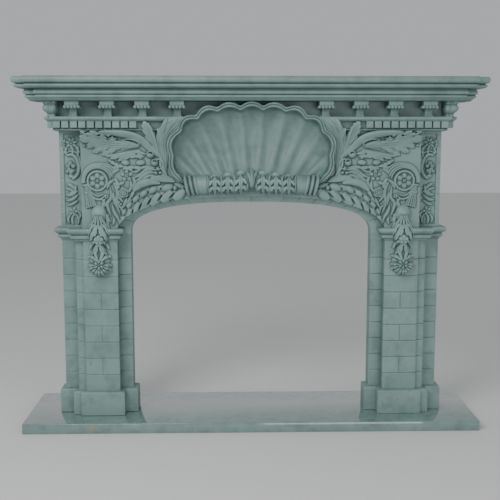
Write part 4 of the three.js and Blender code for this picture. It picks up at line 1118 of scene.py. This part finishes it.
def drop_part():
    """Drop: a ball over a reeded neck, a collar of leaves with a flower, and a lower cluster with another."""
    f = Field(-58, 58, -296, 6, 1.35)
    body = [(0, 6, 5), (8, 23, 18), (26, 31, 27), (45, 29, 24), (62, 25, 17), (78, 32, 20), (95, 42, 26),
            (112, 44, 31), (132, 40, 32), (152, 27, 27), (166, 22, 22), (186, 26, 18), (204, 36, 19),
            (220, 43, 20), (246, 42, 19), (266, 33, 15), (280, 18, 11), (drop_height, 8, 8)]
    down = np.clip(-f.z, 0, drop_height)
    below, halves, rises = zip(*body)
    half, rise = blurred(np.interp(down, below, halves), 3), blurred(np.interp(down, below, rises), 3)
    round_body = rise * np.sqrt(1 - np.clip(np.abs(f.x) / half, 0, 1) ** 2.2)
    for x in (-17, -9, 0, 9, 17):
        f.cord([(x * 0.7, -40), (x, -56), (x * 1.5, -76), (x * 2.0, -92)], 9, 5)
    f.leaves(9, [
        (17, -10, -70, -32, -92, -50, -128), (17, 10, -70, 32, -92, 50, -128),
        (17, -6, -74, -20, -104, -34, -144), (17, 6, -74, 20, -104, 34, -144),
        (15, -2, -76, -8, -100, -14, -122), (15, 3, -76, 9, -100, 14, -122),
        (12, -14, -62, -30, -74, -44, -96), (12, 14, -62, 30, -74, 44, -96),
    ], lobes=3, bite=0.22, full=0.6, fold=0.3, rib=0.3)
    f.leaves(8, [
        (15, -6, -136, -24, -150, -40, -176), (15, 6, -136, 24, -150, 40, -176),
        (14, 0, -140, -8, -172, -14, -204), (14, 0, -140, 8, -172, 16, -204),
        (12, -2, -150, -20, -176, -30, -200), (12, 2, -150, 20, -176, 30, -200),
    ], lobes=3, bite=0.25, full=0.55, fold=0.3)
    for degrees, reach in [(184, 50), (205, 52), (228, 48), (250, 50), (272, 46), (292, 50), (314, 48),
                           (337, 52), (-4, 50)]:
        c, s = math.cos(math.radians(degrees)), math.sin(math.radians(degrees))
        f.leaf([(8 * c, -236 + 8 * s), (reach * 0.6 * c, -236 + reach * 0.62 * s),
                (reach * c, -236 + reach * s)], 15, 12, full=0.7, fold=0.35, rib=0.15, blunt=0.7)
        f.bud((reach * 0.66 * c, -236 + reach * 0.66 * s), 9, 6.5, 18, angle=math.atan2(s, c), seam=1.2)
    for side in (-1, 1):
        f.leaf([(4 * side, -226), (24 * side, -208), (48 * side, -204)], 15, 9, lobes=3, bite=0.25, full=0.6)
        f.leaf([(2 * side, -226), (10 * side, -204), (20 * side, -182)], 14, 11, full=0.6, fold=0.3)
    f.blossom((-2, -137), 20, 5, 14)
    f.blossom((0, -236), 21, 6, 18, turn=0.5)
    back, drop_top = main_depth + joint_gap, z_of(897)
    phi = np.minimum(np.maximum(half - np.abs(f.x), f.edge), np.minimum(f.z + drop_height, -f.z))

    def foot(x, z):
        """Depth of the stone behind: the field or the shaft, and the impost's moulding between them."""
        h = (z + drop_top - z_impost) / impost_height
        out = np.interp(h, *zip(*impost_shares)) * impost_out
        return np.where((h > -0.01) & (h < 1.01), back + out, back)

    depth = back + 3 + round_body + np.maximum(blurred(f.h, 0.4), 0) + 4 * (f.edge > 0)
    depth = np.minimum(np.maximum(depth, foot(f.x, f.z) + 2), main_depth + 46.5)
    points, faces, cav, tone = skin(f.x, f.z, depth, phi, foot, f.step)
    points = points + np.array([drop_x, 0, drop_top]) / 1000
    # The cavity is stretched: stronger painted shade in the cuts and painted highlight on the crests.
    return points, faces, np.clip(0.5 + (cav - 0.5) * 1.25, 0, 1), tone


drop = drop_part()
make("drop_right", "pendant_right", [drop], honed, 65)
make("drop_left", "pendant_left", [mirror(drop)], honed, 65)


# Brackets of the frieze

def ball(x, d, z, r):
    a, b = np.linspace(0, np.pi, 9)[1:-1], np.linspace(0, 2 * np.pi, 13)[:-1]
    loops = [place(x + r * 0.95 * np.sin(t) * np.cos(b), d + r * np.sin(t) * np.sin(b), z + r * math.cos(t))
             for t in a]
    # The beads get a cavity of 0.42: painted highlight on them.
    return tube(loops, 0.42)


def reeded(x, half, front, reeds, deep):
    """Plan of a block with a reeded front."""
    t = np.linspace(-1, 1, reeds * 6 + 1)
    d = front - deep * (1 - np.abs(np.sin(np.pi * reeds * (t + 1) / 2)) ** 0.6)
    back = board_depth + joint_gap
    return np.concatenate([[(x - half, back)], np.stack([x + half * t, d], -1), [(x + half, back)]])


def bracket_parts(x):
    """Small scroll bracket: a reeded head over a row of beads on three sides, and a waisted stem."""
    top = z_frieze + frieze_height
    roll = top - 21
    head = [(roll - 2, 25, 158), (roll + 4, 26, 162), (roll + 8, 27, 165), (top - 5, 27.5, 166),
            (top, 28, 166)]
    stem = [(z_frieze, 17, 139), (z_frieze + 3, 16.5, 138), (z_frieze + 8, 14.5, 132),
            (z_frieze + 14, 13.6, 129), (roll - 14, 14, 131), (roll - 8, 17, 142), (roll - 4, 20, 152),
            (roll, 22, 154)]
    parts = []
    # The cavity lists paint painted shade under the head and in the waist, and slight painted highlight on
    # the rounds.
    for loops, reeds, deep, cavity in ((head, 5, 0.9, [.9, .72, .52, .5, .6]),
                                       (stem, 3, 0.7, [.8, .5, .55, .6, .55, .75, .85, .85])):
        rings = [ring(reeded(x, half, front, reeds, deep), z) for z, half, front in loops]
        parts.append(tube(rings, np.repeat(cavity, reeds * 6 + 3)))
    parts += [ball(x + k * 13.2, 158.5, roll - 1, 7.2) for k in (-2, -1, 0, 1, 2)]
    return parts + [ball(x + s * 26.4, 158.5 - k * 13, roll - 1, 7.0) for s in (-1, 1) for k in (1, 2, 3, 4)]


for side, sign in (("left", -1), ("right", 1)):
    for i in range(4):
        x = sign * (290.5 + i * 135.3)
        make(f"scroll_{side}_{i + 1}", f"bracket_{side}_{i + 1}", bracket_parts(x), honed, 50)


def corner_part():
    """Bulging console: two lobes in front and one at the side over a pinched neck."""
    inner = board_half + joint_gap
    outer = inner + console_width
    middle = (inner + outer) / 2
    profile = spline([(0, -0.3), (9, -0.42), (14, -0.1), (23, 0.7), (34, 1), (46, 0.5), (49, 0.86),
                      (58.5, 0.9)], 4)
    loops, cav = [], []
    for h, p in profile:
        swell, dip = 16 * p, 6 * max(p, 0)
        front, side = 152 + swell, outer + swell * 0.6
        plan = [(inner, 0), (inner, 95.3), (inner - swell * 0.25, 101.3),
                (inner + 3 - swell * 0.2, front - 12), (inner + 10, front - 6),
                (middle - 2, front - 9 - dip), (middle + 2, front - 9 - dip), (outer - 10, front - 6),
                (side - 3, front - 12), (outer + swell * 0.8, 118), (side - 4, 108), (side - 4, 0)]
        loops.append(ring(rounded(plan, 7, 4, keep=(0, 1, 11)), z_frieze + h))
        # Painted shade in the pinched neck and in the crease under the top lobe; the bulge gets painted
        # highlight.
        pinch_shade = 0.35 * math.exp(-((h - 9) / 5) ** 2) + 0.4 * math.exp(-((h - 46.5) / 2) ** 2)
        cav.append(0.5 + pinch_shade - 0.06 * (20 < h < 42))
    return tube(loops, np.repeat(cav, len(loops[0])))


corner = corner_part()
make("console_right", "corner_bracket_right", [corner], honed, 50)
make("console_left", "corner_bracket_left", [mirror(corner)], honed, 50)


# Floor, light and camera

reach, level = 14, -0.0005
floor_mesh = bpy.data.meshes.new("floor")
floor_corners = [(-reach, -reach, level), (reach, -reach, level), (reach, reach, level),
                 (-reach, reach, level)]
floor_mesh.from_pydata(floor_corners, [], [(0, 1, 2, 3)])
floor = bpy.data.objects.new("floor", floor_mesh)
floor_material = bpy.data.materials.new("floor")
floor_material.use_nodes = True
floor_shader = floor_material.node_tree.nodes["Principled BSDF"]
floor_shader.inputs["Base Color"].default_value = (0.72, 0.72, 0.71, 1)
floor_shader.inputs["Roughness"].default_value = 0.8
floor_mesh.materials.append(floor_material)
bpy.context.scene.collection.objects.link(floor)

world = bpy.data.worlds.new("studio")
world.use_nodes = True
sky = world.node_tree.nodes["Background"]
sky.inputs[0].default_value = (0.86, 0.88, 0.9, 1)
sky.inputs[1].default_value = 0.55
bpy.context.scene.world = world


def lamp(name, spot, aim, size, power):
    data = bpy.data.lights.new(name, "AREA")
    data.shape, data.size, data.energy = "SQUARE", size, power
    light = bpy.data.objects.new(name, data)
    light.location = spot
    light.rotation_mode = "QUATERNION"
    light.rotation_quaternion = (Vector(aim) - Vector(spot)).to_track_quat("-Z", "Y")
    bpy.context.scene.collection.objects.link(light)


lamp("key", (-1.6, -2.7, 2.7), (0, -0.1, 0.9), 1.6, 72)
lamp("fill", (1.2, -3.4, 0.7), (0, 0, 0.8), 2.0, 38)

camera_data = bpy.data.cameras.new("camera")
camera_data.sensor_width, camera_data.lens = 36, 62.54
camera = bpy.data.objects.new("camera", camera_data)
camera.location = (-0.09409, -3.54249, 1.17606)
camera.rotation_euler = (math.radians(90 - 7.58), 0, math.radians(-1.46))
bpy.context.scene.collection.objects.link(camera)
bpy.context.scene.camera = camera
